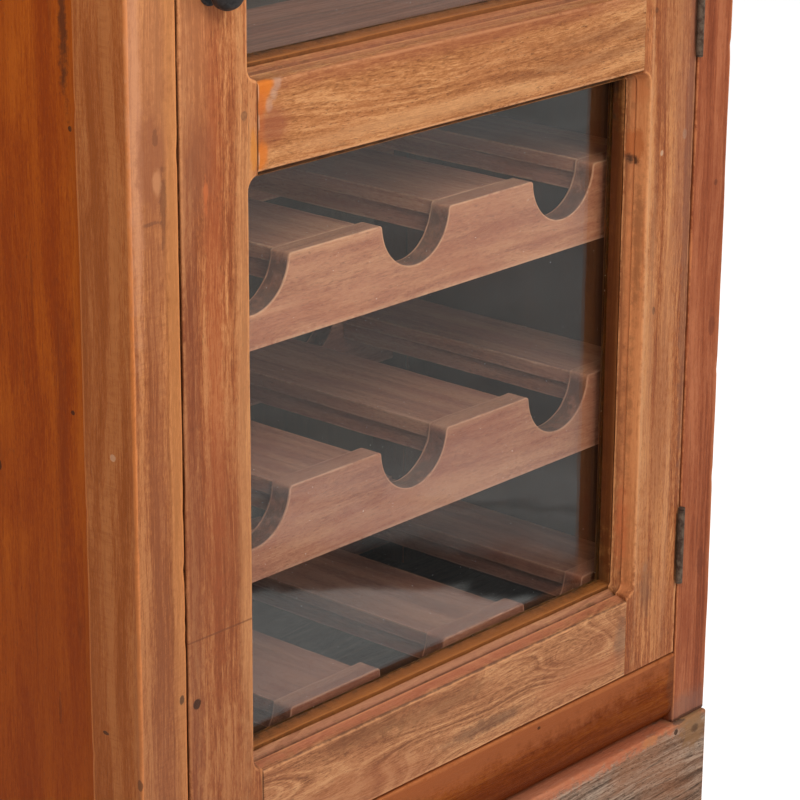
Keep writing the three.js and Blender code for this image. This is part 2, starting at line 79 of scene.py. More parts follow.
class Grain(Enum):
    """The way that a board's grain runs; the value is the number of the axis."""

    ACROSS = 0
    DEEP = 1
    UPRIGHT = 2

    @property
    def flanks(self) -> tuple[int, int]:
        """The two axes across the grain, in the order that makes a right-handed three with it."""
        return (self.value + 1) % 3, (self.value + 2) % 3


class Side(Enum):
    """The side of the cabinet that a piece is on; the value is the sign of its X."""

    LEFT = -1
    RIGHT = 1


def tone(red: int, green: int, blue: int) -> Colour:
    """A colour written as screen values from 0 to 255, as linear light with an alpha of one."""
    screen = np.array([red, green, blue]) / 255
    linear = np.where(screen <= 0.04045, screen / 12.92, ((screen + 0.055) / 1.055) ** 2.4)
    return (float(linear[0]), float(linear[1]), float(linear[2]), 1.0)


def wander(places: np.ndarray, seed: int, per_metre: float) -> np.ndarray:
    """A smooth random line: random heights at even knots, joined by the curve 3t^2 - 2t^3.

    Args:
        places: Where the line is read, in metres.
        seed: Picks the line.
        per_metre: How many knots a metre has.

    Returns:
        One height from -1 to 1 for each place.
    """
    reach = (places - places.min()) * per_metre
    heights = np.random.default_rng(seed).uniform(-1, 1, int(reach.max()) + 3)
    knot = np.floor(reach).astype(int)
    part = reach - knot
    part = part * part * (3 - 2 * part)
    return heights[knot] * (1 - part) + heights[knot + 1] * part


def dents(places: np.ndarray, seed: int, per_metre: float, reach: float) -> np.ndarray:
    """The sum of short bell curves at random places: each is exp(-d^2 / r^2) at distance d.

    Args:
        places: Where the sum is read, in metres.
        seed: Picks the dents.
        per_metre: How many dents a metre has.
        reach: The mean half length of a dent, in metres.

    Returns:
        One depth from 0 up to about 1 for each place.
    """
    rng = np.random.default_rng(seed)
    count = max(1, int(np.ptp(places) * per_metre))
    middles = rng.uniform(places.min(), places.max(), count)
    halves = reach * rng.uniform(0.5, 1.6, count)
    depths = rng.uniform(0.25, 1, count) ** 2
    away = (places[:, None] - middles[None, :]) / halves[None, :]
    return (depths * np.exp(-away ** 2)).sum(axis=1)


@dataclass
class Skin:
    """A closed skin on a grid: rows of points that each go once round the piece.

    Attributes:
        points: The places, as (rows, round, 3), in metres.
        arris: How near each point is to an outer edge, from 0 to 1, as (rows, round).
        hollow: How dark each point is made by dirt and painted shade, from 0 to 1, as (rows, round): full at
            inner corners and at the places that a piece sets.
    """

    points: np.ndarray
    arris: np.ndarray
    hollow: np.ndarray


# Skins of one piece, each with the way of its grain and the seed of its figure
Skins = list[tuple[Skin, Grain, int]]


def mesh_of(name: str, skins: Skins) -> bpy.types.Mesh:
    """Puts skins into one mesh, with their ends closed and their wear, their dirt and painted shade, and
    their grain as attributes.

    The grain attribute is the place turned so that its third number runs along the grain,
    and moved by a step of the skin's own, so that no two pieces share a figure.

    Args:
        name: The mesh's name.
        skins: Its skins.

    Returns:
        The mesh.
    """
    places = []
    grains = []
    flags = []
    loops = []
    sizes = []
    count = 0
    for skin, grain, seed in skins:
        rows, around, _ = skin.points.shape
        index = np.arange(rows * around).reshape(rows, around) + count
        ahead = np.roll(index, -1, axis=1)
        quads = np.stack([index[:-1], ahead[:-1], ahead[1:], index[1:]], axis=-1).reshape(-1, 4)
        loops.append(np.concatenate([quads.ravel(), index[0][::-1], index[-1]]))
        sizes.append(np.concatenate([np.full(len(quads), 4), [around, around]]))
        u, v = grain.flanks
        step = np.random.default_rng(seed).uniform(-1, 1, 3) * STEP_MORE
        step = step + STEP_LEAST * np.sign(step)
        turned = skin.points[:, :, [u, v, grain.value]]
        grains.append((turned - turned.mean(axis=(0, 1)) + step).reshape(-1, 3))
        places.append(skin.points.reshape(-1, 3))
        flags.append(np.stack([skin.arris.ravel(), skin.hollow.ravel()], axis=1))
        count += rows * around
    loops = np.concatenate(loops)
    sizes = np.concatenate(sizes)
    mesh = bpy.data.meshes.new(name)
    mesh.vertices.add(count)
    mesh.vertices.foreach_set("co", np.concatenate(places).astype(np.float32).ravel())
    mesh.loops.add(len(loops))
    mesh.loops.foreach_set("vertex_index", loops.astype(np.int32))
    mesh.polygons.add(len(sizes))
    starts = np.concatenate([[0], np.cumsum(sizes)[:-1]])
    mesh.polygons.foreach_set("loop_start", starts.astype(np.int32))
    mesh.update(calc_edges=True)
    mesh.polygons.foreach_set("use_smooth", np.ones(len(sizes), dtype=bool))
    mesh.set_sharp_from_angle(angle=SHARP)
    layer = mesh.attributes.new("grain", "FLOAT_VECTOR", "POINT")
    layer.data.foreach_set("vector", np.concatenate(grains).astype(np.float32).ravel())
    marks = np.concatenate(flags).astype(np.float32)
    for number, label in enumerate(("arris", "hollow")):
        layer = mesh.attributes.new(label, "FLOAT", "POINT")
        layer.data.foreach_set("value", np.ascontiguousarray(marks[:, number]))
    return mesh


@dataclass
class Piece:
    """A piece that stands for one solid of the part.

    Attributes:
        node: The solid that it stands for, which gives its box.
        body: The body that it moves with.
        finish: Its finish.
        seed: Picks its wear and its figure.
    """

    node: str
    body: str
    finish: "Finish"
    seed: int

    prefix = "worn_"

    def box(self) -> tuple[np.ndarray, np.ndarray]:
        """The lowest and the highest corner of its solid."""
        low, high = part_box(self.node)
        return np.array(low), np.array(high)

    def skins(self) -> Skins:
        """Its skins."""
        raise NotImplementedError

    def build(self) -> bpy.types.Object:
        """Makes the piece: it rides on its body, stands for its solid and takes its finish."""
        mesh = mesh_of(self.prefix + self.node, self.skins())
        mesh.materials.append(self.finish.material())
        piece = bpy.data.objects.new(mesh.name, mesh)
        bpy.context.scene.collection.objects.link(piece)
        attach(piece, self.body)
        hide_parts(self.node)
        log.info("%s: %d faces, rides on %s", piece.name, len(mesh.polygons), self.body)
        return piece


@dataclass(frozen=True)
class Edge:
    """How an edge is worn along its length.

    Attributes:
        knock: How deep its deepest knocks are, in metres.
        knocks: How many knocks a metre has.
        dent: The mean half length of a knock, in metres.
        waves: How many knots of its wander a metre has.
        vary: How much its ease wanders, as a share.
    """

    knock: float = 1.6 * MM
    knocks: float = 9.0
    dent: float = 5 * MM
    waves: float = 26.0
    vary: float = 0.4

    def soft(self, places: np.ndarray, ease: float, seed: int) -> np.ndarray:
        """The ease at each place: it wanders about the given ease."""
        return ease * (1 + self.vary * wander(places, seed, self.waves))

    def worn(self, places: np.ndarray, ease: float, seed: int, knock_seed: int) -> np.ndarray:
        """The ease at each place, with the knocks added to its wander."""
        return self.soft(places, ease, seed) + self.knock * dents(places, knock_seed, self.knocks, self.dent)


def eased_loop(
    corners: np.ndarray, eases: np.ndarray, flank: float
) -> tuple[np.ndarray, np.ndarray, np.ndarray]:
    """Rounds the corners of closed outlines, one outline for each row.

    Each corner becomes a short parabola: it starts one ease away along the edge before it, ends
    one ease away along the edge after it, and has the corner as its control point. A flank point
    stands beside each end of the parabola, where the wear of the corner has faded out.

    Args:
        corners: The corners, as (rows, corners, 2), counter-clockwise.
        eases: How far each corner is eased, as (rows, corners), in metres.
        flank: How far beyond the ease the wear fades out, in metres.

    Returns:
        The rounded points as (rows, points, 2), and for each point of a row whether it is on an
        outer corner and whether it is on an inner corner.
    """
    before = np.roll(corners, 1, axis=1) - corners
    after = np.roll(corners, -1, axis=1) - corners
    long_before = np.linalg.norm(before, axis=2, keepdims=True)
    long_after = np.linalg.norm(after, axis=2, keepdims=True)
    before = before / long_before
    after = after / long_after
    limit = EASE_MOST * np.minimum(long_before, long_after)
    ease = np.minimum(eases[:, :, None], limit)
    far_before = np.minimum(ease + flank, FADE_MOST * long_before)
    far_after = np.minimum(ease + flank, FADE_MOST * long_after)
    share = SHARES[None, None, :, None]
    curve = corners[:, :, None, :] + ease[:, :, :, None] * (
        (1 - share) ** 2 * before[:, :, None, :] + share ** 2 * after[:, :, None, :]
    )
    start = (corners + far_before * before)[:, :, None, :]
    end = (corners + far_after * after)[:, :, None, :]
    points = np.concatenate([start, curve, end], axis=2)
    turn = before[0, :, 0] * after[0, :, 1] - before[0, :, 1] * after[0, :, 0]
    on_curve = np.zeros(EASE_STEPS + 3)
    on_curve[1:-1] = 1
    sharp = np.clip((np.abs(turn) - 0.3) / 0.3, 0, 1)[:, None]
    outer = (np.where(turn[:, None] < 0, on_curve[None, :], 0) * sharp).ravel()
    inner = (np.where(turn[:, None] > 0, on_curve[None, :], 0) * sharp).ravel()
    rows = corners.shape[0]
    return points.reshape(rows, -1, 2), outer, inner


@dataclass
class Board(Piece):
    """A straight board, swept along its grain, with eased and knocked edges.

    Attributes:
        grain: The way that its grain runs.
        ease: How far its edges are eased, in metres.
        eases: Edge eases of its own for each corner, in metres, in place of the one ease.
        edge: How its edges are worn.
        waver: How far its faces waver from flat, in metres.
        bends: How many bends of that waver a metre has.
        gap_shade_and_dirt: How dark a side in a narrow gap is made, from 0 to 1: painted shade, with some
            dirt.
        flank: How far past an eased edge its wear fades out, in metres.
        end_lip: How far inside the end's eased edge its last ring of points lies, in metres.
        end_wear: How worn the edges of its ends are, from 0 to 1.
        outline: Corners of its section in metres, counter-clockwise, in place of the box's four.
        span: Its low and high end along the grain, in place of the box's.
        dark_sides: The sides that lie in a narrow gap, darkened with painted shade and some dirt; side 0
            follows corner 0.
        corner_dirt_and_shade: How dark each corner is made by dirt and painted shade, from 0 to 1, in place
            of what its angle gives.
    """

    grain: Grain
    ease: float = 1.2 * MM
    eases: tuple[float, ...] = ()
    edge: Edge = Edge()
    waver: float = 0.16 * MM
    bends: float = 7.0
    gap_shade_and_dirt: float = 0.5
    flank: float = 1.3 * MM
    end_lip: float = 2.5 * MM
    end_wear: float = 1.0
    outline: tuple[Pair, ...] = ()
    span: Pair = ()
    dark_sides: tuple[int, ...] = ()
    corner_dirt_and_shade: tuple[float, ...] = ()

    def corners(self) -> np.ndarray:
        """The corners of the section, as (corners, 2)."""
        if self.outline:
            return np.array(self.outline)
        low, high = self.box()
        u, v = self.grain.flanks
        return np.array([[low[u], low[v]], [high[u], low[v]], [high[u], high[v]], [low[u], high[v]]])

    def ends(self) -> Pair:
        """The two ends along the grain."""
        if self.span:
            return self.span
        low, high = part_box(self.node)
        return low[self.grain.value], high[self.grain.value]

    def rows(self, low: float, high: float) -> np.ndarray:
        """The places of the rows between the eased ends."""
        count = max(2, int((high - low) / ROW_STEP))
        return np.linspace(low + self.ease, high - self.ease, count)

    def shift(self, places: np.ndarray, corners: np.ndarray) -> np.ndarray:
        """How far each corner of each row is moved; a plain board moves none."""
        return np.zeros((len(places), len(corners), 2))

    def skins(self) -> Skins:
        """Sweeps the eased section along the grain, and draws it in at both ends."""
        corners = self.corners()
        low, high = self.ends()
        tip = self.ease
        inner = self.rows(low, high)
        places = np.concatenate([[low, low, low + CUT * tip], inner, [high - CUT * tip, high, high]])
        draw = np.zeros(len(places))
        draw[[0, -1]] = tip + self.end_lip
        draw[[1, -2]] = tip
        draw[[2, -3]] = CUT * tip
        before = np.roll(corners, 1, axis=0) - corners
        after = np.roll(corners, -1, axis=0) - corners
        before = before / np.linalg.norm(before, axis=1, keepdims=True)
        after = after / np.linalg.norm(after, axis=1, keepdims=True)
        into_one = np.stack([before[:, 1], -before[:, 0]], axis=1)
        into_two = np.stack([-after[:, 1], after[:, 0]], axis=1)
        inward = (into_one + into_two) / (1 + (into_one * into_two).sum(axis=1))[:, None]
        base = np.array(self.eases) if self.eases else np.full(len(corners), self.ease)
        wear = np.stack([
            self.edge.worn(places, ease, self.seed * 31 + k, self.seed * 47 + k)
            for k, ease in enumerate(base)
        ], axis=1)
        sway = np.stack([
            self.waver * wander(places, self.seed * 59 + 2 * k, self.bends) for k in range(len(corners))
        ], axis=1)
        moved = corners[None] + inward[None] * (draw[:, None, None] + sway[:, :, None])
        moved = moved + self.shift(places, corners)
        loop, outer, hollow = eased_loop(moved, wear, self.flank)
        around = EASE_STEPS + 3
        # Corners and sides in gaps are darkened where the piece sets them: dirt and painted shade.
        if self.corner_dirt_and_shade:
            hollow = np.repeat(np.array(self.corner_dirt_and_shade), around)
        for side in self.dark_sides:
            hollow[[side * around + around - 1, (side + 1) % len(corners) * around]] = self.gap_shade_and_dirt
        points = np.zeros((len(places), loop.shape[1], 3))
        u, v = self.grain.flanks
        points[:, :, u] = loop[:, :, 0]
        points[:, :, v] = loop[:, :, 1]
        points[:, :, self.grain.value] = places[:, None]
        arris = np.tile(outer, (len(places), 1))
        arris[[1, 2, -3, -2]] = self.end_wear
        arris[[0, -1]] = 0
        return [(Skin(points, arris, np.tile(hollow, (len(places), 1))), self.grain, self.seed)]


@dataclass
class NotchedBoard(Piece):
    """A rack board with half-round notches in its top edge.

    Attributes:
        reach: Half of its length, in metres.
        radius: The notches' radius, in metres.
        pitch: How far apart the notches are, in metres.
        count: How many notches there are.
        lip: How far the notches' edges are eased along the board, in metres.
        rear_ease: How far the upper edge of its back face is eased, in metres.
        front_ease: How far the upper edge of its front face is eased, in metres.
        foot_ease: How far its lower edges are eased, in metres.
        edge: How its upper edges are worn.
        flank: How far past an upper edge its wear fades out, in metres.
        skirt: How far past a lower edge its wear fades out, in metres.
        flat_points: How many points lie along a flat of its top edge.
        lip_points: How many points lie along the edge of a notch.
        notch_points: How many points lie along a notch.
        dirt: How dark the faces deep in a notch are made, from 0 to 1: dirt and painted shade.
        dark_depth: How far down that darkening is full, as a share of the notch's radius.
    """

    reach: float
    radius: float = 42.5 * MM
    pitch: float = 197 * MM
    count: int = 3
    lip: float = 3.5 * MM
    rear_ease: float = 2.2 * MM
    front_ease: float = 0.7 * MM
    foot_ease: float = 1.0 * MM
    edge: Edge = Edge(knock=0.8 * MM, dent=4 * MM, waves=30)
    flank: float = 0.9 * MM
    skirt: float = 3 * MM
    flat_points: int = 14
    lip_points: int = 6
    notch_points: int = 40
    dirt: float = 0.95
    dark_depth: float = 0.2

    def contour(self, top: float) -> tuple[np.ndarray, np.ndarray]:
        """The line of the top edge from left to right, and the way into the wood from it.

        A notch is an arc below its middle. Its edge is an arc of the lip's radius, which touches
        the flat from below and the notch from outside.

        Args:
            top: The height of the flats, in metres.

        Returns:
            The points as (points, 2) in X and Z, and the inward unit vectors.
        """
        rise = math.asin(self.lip / (self.radius + self.lip))
        shift = (self.radius + self.lip) * math.cos(rise)
        middles = (np.arange(self.count) - (self.count - 1) / 2) * self.pitch
        points = []
        inward = []

        def lay(flat: np.ndarray) -> None:
            """Adds a flat stretch."""
            points.append(np.stack([flat, np.full_like(flat, top)], axis=1))
            inward.append(np.tile([0.0, -1.0], (len(flat), 1)))

        last = -self.reach
        for middle in middles:
            lay(np.linspace(last, middle - shift, self.flat_points)[:-1])
            bow = np.linspace(math.pi + rise, 2 * math.pi - rise, self.notch_points)[1:-1]
            before = np.linspace(math.pi / 2, rise, self.lip_points)
            after = np.linspace(math.pi - rise, math.pi / 2, self.lip_points)[:-1]
            for x, z, radius, turn, way in (
                (middle - shift, top - self.lip, self.lip, before, -1),
                (middle, top, self.radius, bow, 1),
                (middle + shift, top - self.lip, self.lip, after, -1),
            ):
                spoke = np.stack([np.cos(turn), np.sin(turn)], axis=1)
                points.append(np.array([x, z]) + radius * spoke)
                inward.append(way * spoke)
            last = middle + shift
        lay(np.linspace(last, self.reach, self.flat_points))
        return np.concatenate(points), np.concatenate(inward)

    def skins(self) -> Skins:
        """Carries the board's section along its top line.

        In each row the section starts at the bottom, goes up the back, over the top edge and
        down the front. Each top corner is a parabola from the face to the edge, whose ease
        wanders along the board.
        """
        low, high = self.box()
        line, inward = self.contour(high[2])
        run = np.concatenate([[0], np.cumsum(np.linalg.norm(np.diff(line, axis=0), axis=1))])
        rows = len(line)
        into = np.stack([inward[:, 0], np.zeros(rows), inward[:, 1]], axis=1)
        edge = np.stack([line[:, 0], np.zeros(rows), line[:, 1]], axis=1)
        parts = []
        masks = []
        for y, way, key, base in ((high[1], -1, 1, self.rear_ease), (low[1], 1, 2, self.front_ease)):
            ease = self.edge.worn(run, base, self.seed * 7 + key, self.seed * 11 + key)
            deep = np.zeros_like(edge)
            deep[:, 1] = y
            across = np.array([0.0, way, 0.0])
            flank = edge + deep + into * (ease + self.flank)[:, None]
            curve = (edge + deep)[:, None, :] + ease[:, None, None] * (
                (1 - SHARES)[None, :, None] ** 2 * into[:, None, :]
                + SHARES[None, :, None] ** 2 * across
            )
            inner = edge + deep + across * (ease + self.flank)[:, None]
            column = np.concatenate([flank[:, None], curve, inner[:, None]], axis=1)
            mask = np.zeros(column.shape[1])
            mask[1:-1] = 1
            if way == 1:
                column = column[:, ::-1]
            parts.append(column)
            masks.append(mask)
        ease = self.foot_ease
        foot = np.array([[0, ease + self.skirt], [0, ease], [CUT * ease, CUT * ease], [ease, 0]])
        bottom = []
        for y, z in np.concatenate([
            [low[1], low[2]] + foot, [high[1], low[2]] + foot[::-1] * [-1, 1],
        ]):
            bottom.append(np.stack([line[:, 0], np.full(rows, y), np.full(rows, z)], axis=1))
        points = np.concatenate([np.stack(bottom, axis=1), parts[0], parts[1]], axis=1)
        arris = np.tile(np.concatenate([[0, 1, 1, 1, 1, 1, 1, 0], masks[0], masks[1]]), (rows, 1))
        hollow = np.zeros_like(arris)
        # The faces deep in each notch are darkened: dirt and painted shade.
        deep = np.clip((high[2] - line[:, 1]) / (self.dark_depth * self.radius), 0, 1)
        ridge = len(bottom) + len(masks[0])
        hollow[:, [ridge - 1, ridge]] = self.dirt * deep[:, None]
        return [(Skin(points, arris, hollow), Grain.ACROSS, self.seed)]


@dataclass
class Moulding:
    """The moulded edge of the door's openings, as corners of a section.

    Attributes:
        steps: How far each corner stands into the opening and how deep it lies, in millimetres.
        eases: How far each corner is eased, in millimetres.
        corner_dirt_and_shade: How dark each corner is made, from 0 to 1: dirt, with painted shade in the
            quirks and the rebate.
        radius: The radius of the opening's corners at the front face, in metres.
        lap: How far the stile reaches into the opening, up to its joint with a rail, in metres.
        fit: The gap of a joint, in metres.
    """

    steps: tuple[Pair, ...] = (
        (0, 0), (1.2, 2.5), (2.6, 7.75), (4, 12.7), (2.2, 14),
        (4, 15.3), (6, 18.5), (8, 22), (-6, 22), (-6, 42),
    )
    eases: tuple[float, ...] = (0.9, 0.7, 1.5, 0.9, 0.4, 0.5, 1.5, 0.9, 0.3, 0.9)
    corner_dirt_and_shade: tuple[float, ...] = (0, 0.2, 0.35, 0.0, 1, 0.9, 0.35, 0.1, 1, 0)
    radius: float = 12 * MM
    lap: float = 10.5 * MM
    fit: float = 0.3 * MM

    def corners(self) -> np.ndarray:
        """The corners of the section in metres, as (corners, 2): inset and depth."""
        return np.array(self.steps) * MM

    def shares(self) -> np.ndarray:
        """The eases of the corners, in metres."""
        return np.array(self.eases) * MM


# How far a pane reaches past the arrises of its opening
PANE_LAP = 5 * MM


@dataclass
class Opening:
    """One glazed opening of the door, between the arrises of its moulding.

    Attributes:
        left: The left arris, in metres.
        right: The right arris, in metres.
        low: The lower arris, in metres.
        high: The upper arris, in metres.
    """

    left: float
    right: float
    low: float
    high: float

    @classmethod
    def of_glass(cls, node: str) -> "Opening":
        """The opening of the pane's solid, whose glass reaches a little past the arrises."""
        low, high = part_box(node)
        return cls(low.x + PANE_LAP, high.x - PANE_LAP, low.z + PANE_LAP, high.z - PANE_LAP)


@dataclass
class DoorStile(Piece):
    """An upright of the door, whose moulding turns the corners of both openings.

    Attributes:
        side: The side that it is on; the lock stile is on the left.
        openings: The openings beside it, from the lowest up.
        moulding: The moulded edge.
        corner_rows: How many rows each corner of an opening has.
        face_lines: The insets of the lines that lie on its face, in metres.
        back_line: The inset of the line on its back, in metres.
        reach: How far past the moulding the neighbours of its first and last corner lie, in metres.
        edge: How the moulding is worn.
        rim: How the outer edges are worn.
        rim_ease: How far the outer edges are eased, in metres.
        rim_flank: How far from an outer edge its wear fades out on the faces, in metres.
        rim_fade: How far past an outer edge its wear fades out on the side, in metres.
        ease_most: The most of a side of the moulding that the ease of its corner may take.
        worn_from: The sine of a corner's turn past which its edge is worn.
        worn_over: How much more than that sine it takes to wear the edge in full.
    """

    side: Side
    openings: tuple[Opening, ...]
    moulding: Moulding = field(default_factory=Moulding)
    corner_rows: int = 8
    face_lines: Triple = (-28 * MM, -10 * MM, -2.2 * MM)
    back_line: float = -12 * MM
    reach: float = 10 * MM
    edge: Edge = Edge(knock=0.9 * MM, knocks=11, dent=4 * MM, waves=30, vary=0.45)
    rim: Edge = Edge(knock=1.4 * MM)
    rim_ease: float = 1.2 * MM
    rim_flank: float = 3.5 * MM
    rim_fade: float = 1 * MM
    ease_most: float = 0.45
    worn_from: float = 0.1
    worn_over: float = 0.4

    def line(self, inset: np.ndarray, stretch: list[np.ndarray]) -> tuple[np.ndarray, np.ndarray]:
        """The way of one line of the moulding up the stile.

        Beside an opening the line is upright. At the opening's corner it is an arc about the
        common centre, up to the joint with the rail, and past the rail it is upright again. A
        line on the face lies as far inside the arc and the joint as inside the arris.

        Args:
            inset: How far the line stands into the opening, for each row, in metres.
            stretch: For each stretch of the way, the shares of it at which the rows lie.

        Returns:
            The inset of each row from the arris, and its height.
        """
        low, high = (corner.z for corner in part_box(self.node))
        radius = self.moulding.radius
        across = []
        heights = []
        first = 0
        for number, share in enumerate(stretch):
            part = inset[first:first + len(share)]
            first += len(share)
            arc = radius - part
            lean = radius - self.moulding.lap + np.maximum(0, -part)
            full = np.arccos(lean / arc)
            place, kind = divmod(number, 4)
            opening = self.openings[place] if place < len(self.openings) else None
            if kind == 0:
                below = self.openings[place - 1].high - radius + arc * np.sin(full) if place else low
                above = opening.low + radius - arc * np.sin(full) if opening else high
                across.append(radius - lean)
                heights.append(below + share * (above - below))
            elif kind == 2:
                across.append(part)
                heights.append(opening.low + radius + share * (opening.high - opening.low - 2 * radius))
            else:
                turn = full * (share if kind == 3 else 1 - share)
                centre = opening.high - radius if kind == 3 else opening.low + radius
                across.append(radius - arc * np.cos(turn))
                heights.append(centre + (kind - 2) * arc * np.sin(turn))
        return np.concatenate(across), np.concatenate(heights)

    def skins(self) -> Skins:
        """Lays the lines of the face, the moulding, the back and the outer edge side by side."""
        low, high = self.box()
        stretch = []
        last = low[2]
        corner = np.linspace(0, 1, self.corner_rows + 1)[:-1]
        for opening in self.openings:
            sides = (self.shares(opening.low - last), self.shares(opening.high - opening.low))
            stretch.extend((sides[0], corner, sides[1], corner))
            last = opening.high
        stretch.append(np.append(self.shares(high[2] - last), 1.0))
        count = sum(len(share) for share in stretch)
        level = np.zeros(count)
        along = self.line(level, stretch)[1]
        arris = self.openings[0].left if self.side is Side.LEFT else self.openings[0].right
        outer = low[0] if self.side is Side.LEFT else high[0]
        strings = []
        masks = []

        def lay(inset: np.ndarray, depth: np.ndarray, worn: float, deep: float) -> None:
            """Adds the line at one inset and depth."""
            across, heights = self.line(inset, stretch)
            x = arris - self.side.value * across
            strings.append(np.stack([x, FRONT + depth, heights], axis=1))
            masks.append((worn, deep))

        for inset in self.face_lines:
            lay(level + inset, level, 0, 0)
        corners = self.moulding.corners()
        eases = self.moulding.shares()
        beyond = np.array([[-self.reach, 0]])
        ahead = np.concatenate([corners[1:], corners[-1:] + beyond])
        behind = np.concatenate([beyond, corners[:-1]])
        for k, corner in enumerate(corners):
            before = (behind[k] - corner) / np.linalg.norm(behind[k] - corner)
            after = (ahead[k] - corner) / np.linalg.norm(ahead[k] - corner)
            turn = before[0] * after[1] - before[1] * after[0]
            if turn < 0:
                wear = self.edge.worn(along, eases[k], self.seed * 13 + k, self.seed * 17 + k)
            else:
                wear = self.edge.soft(along, eases[k], self.seed * 13 + k)
            wear = np.minimum(wear, self.ease_most * min(
                np.linalg.norm(behind[k] - corner), np.linalg.norm(ahead[k] - corner)))
            worn = float(np.clip((-turn - self.worn_from) / self.worn_over, 0, 1))
            for s in SHARES:
                shift = (1 - s) ** 2 * before + s ** 2 * after
                lay(corner[0] + wear * shift[0], corner[1] + wear * shift[1],
                    worn, self.moulding.corner_dirt_and_shade[k])
        moulded = len(masks)
        back = high[1] - FRONT
        lay(level + self.back_line, level + back, 0, 0)
        rim = self.rim.worn(along, self.rim_ease, self.seed * 19, self.seed * 23)
        for depth, way in ((back, -1), (0.0, 1)):
            run = []
            for s in SHARES:
                x = outer - self.side.value * (1 - s) ** 2 * rim
                y = FRONT + depth + way * s ** 2 * rim
                run.append(np.stack([x, y, along], axis=1))
            x = level + outer - self.side.value * self.rim_flank
            flank = np.stack([x, level + FRONT + depth, along], axis=1)
            y = FRONT + depth + way * (rim + self.rim_fade)
            run = [flank] + run + [np.stack([level + outer, y, along], axis=1)]
            # The point past each outer edge lies on the outer side, which is made fully dark: painted shade
            # in the gap beside the door, with some dirt.
            flags = [(0, 0)] + [(1, 0)] * len(SHARES) + [(0, 1)]
            if way == 1:
                run.reverse()
                flags.reverse()
            strings.extend(run)
            masks.extend(flags)
        if self.side is Side.RIGHT:
            strings.reverse()
            masks.reverse()
        flags = np.tile(np.array(masks, dtype=float)[None], (count, 1, 1))
        joint = np.concatenate([np.full(len(part), number % 4 == 0) for number, part in enumerate(stretch)])
        inner = slice(0, moulded) if self.side is Side.LEFT else slice(len(masks) - moulded, None)
        flags[joint, inner, 0] = 0
        skin = Skin(np.stack(strings, axis=1), flags[:, :, 0], flags[:, :, 1])
        return [(skin, Grain.UPRIGHT, self.seed)]

    def shares(self, length: float) -> np.ndarray:
        """Evenly spread shares of a stretch of the given length, without its end."""
        return np.linspace(0, 1, max(2, int(length / ROW_STEP)) + 1)[:-1]


@dataclass
class BeadRing(Piece):
    """The four strips that hold a pane, mitred at the corners.

    Attributes:
        opening: The opening that they line.
        inset: The inset of the strip's face at its front and at its back, in metres.
        hidden: How far the strip reaches behind the moulding, in metres.
        ease: How far its edges are eased, in metres.
        edge: How its edges are worn.
        waver: How far its face wavers, in metres.
        bends: How many bends of that waver a metre has.
        face_dirt: How much dirt lies on its face, from 0 to 1.
        front_wear: How worn the front edge of its face is, from 0 to 1.
        flank: How far past an edge its wear fades out, in metres.
    """

    opening: Opening
    inset: Pair
    hidden: float = 5.7 * MM
    ease: float = 0.8 * MM
    edge: Edge = Edge(knock=0.9 * MM, knocks=8, dent=4 * MM, waves=30)
    waver: float = 0.25 * MM
    bends: float = 9.0
    face_dirt: float = 0.3
    front_wear: float = 0.6
    flank: float = 2 * MM

    def strip(self, number: int, span: Pair, level: float, way: int, seed: int) -> Skin:
        """One strip, whose ends are cut at 45 degrees: a line that stands further in is shorter.

        Args:
            number: The axis that the strip runs along, as a number.
            span: The arrises at its two ends, in metres.
            level: The arris that it lies on, in metres.
            way: One where the opening lies in the plus direction of the level, else minus one.
            seed: Picks its wear.

        Returns:
            The strip's skin.
        """
        low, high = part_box(self.node)
        first, last = self.inset
        section = np.array([
            [low.y, -self.hidden], [high.y, -self.hidden], [high.y, last], [low.y, first],
        ])
        count = max(4, int((span[1] - span[0]) / ROW_STEP))
        share = np.linspace(0, 1, count)
        run = share * (span[1] - span[0])
        eases = np.stack([self.edge.worn(run, self.ease, seed + k, seed + k) for k in range(4)], axis=1)
        sway = self.waver * wander(run, seed + 9, self.bends)
        corners = np.tile(section[None], (count, 1, 1))
        corners[:, 2:, 1] += sway[:, None]
        loop, worn, deep = eased_loop(corners, eases, self.flank)
        around = EASE_STEPS + 3
        # The edge against the glass is made fully dark: painted shade where the bead meets the glass.
        glass = 2 if last > first else 3
        deep[glass * around:(glass + 1) * around] = 1
        worn[glass * around:(glass + 1) * around] = 0
        half = around // 2
        face = slice(2 * around + half, 3 * around + half)
        deep[face] = np.maximum(deep[face], self.face_dirt)
        worn[3 * around:4 * around] *= self.front_wear
        deep[4 * around - 2:] = 1
        inset = loop[:, :, 1]
        points = np.zeros(loop.shape[:2] + (3,))
        points[:, :, number] = span[0] + inset + share[:, None] * (span[1] - span[0] - 2 * inset)
        points[:, :, 2 - number] = level + way * inset
        points[:, :, 1] = loop[:, :, 0]
        if (number == 0) != (way == 1):
            points = points[:, ::-1]
            worn = worn[::-1]
            deep = deep[::-1]
        return Skin(points, np.tile(worn, (count, 1)), np.tile(deep, (count, 1)))

    def skins(self) -> Skins:
        """The four strips, the lower, the upper, the left and the right one."""
        around = self.opening
        width = (around.left, around.right)
        height = (around.low, around.high)
        strips = []
        for number, (grain, span, level, way) in enumerate((
            (Grain.ACROSS, width, around.low, 1), (Grain.ACROSS, width, around.high, -1),
            (Grain.UPRIGHT, height, around.left, 1), (Grain.UPRIGHT, height, around.right, -1),
        )):
            skin = self.strip(grain.value, span, level, way, self.seed + 20 * number)
            strips.append((skin, grain, self.seed + number))
        return strips


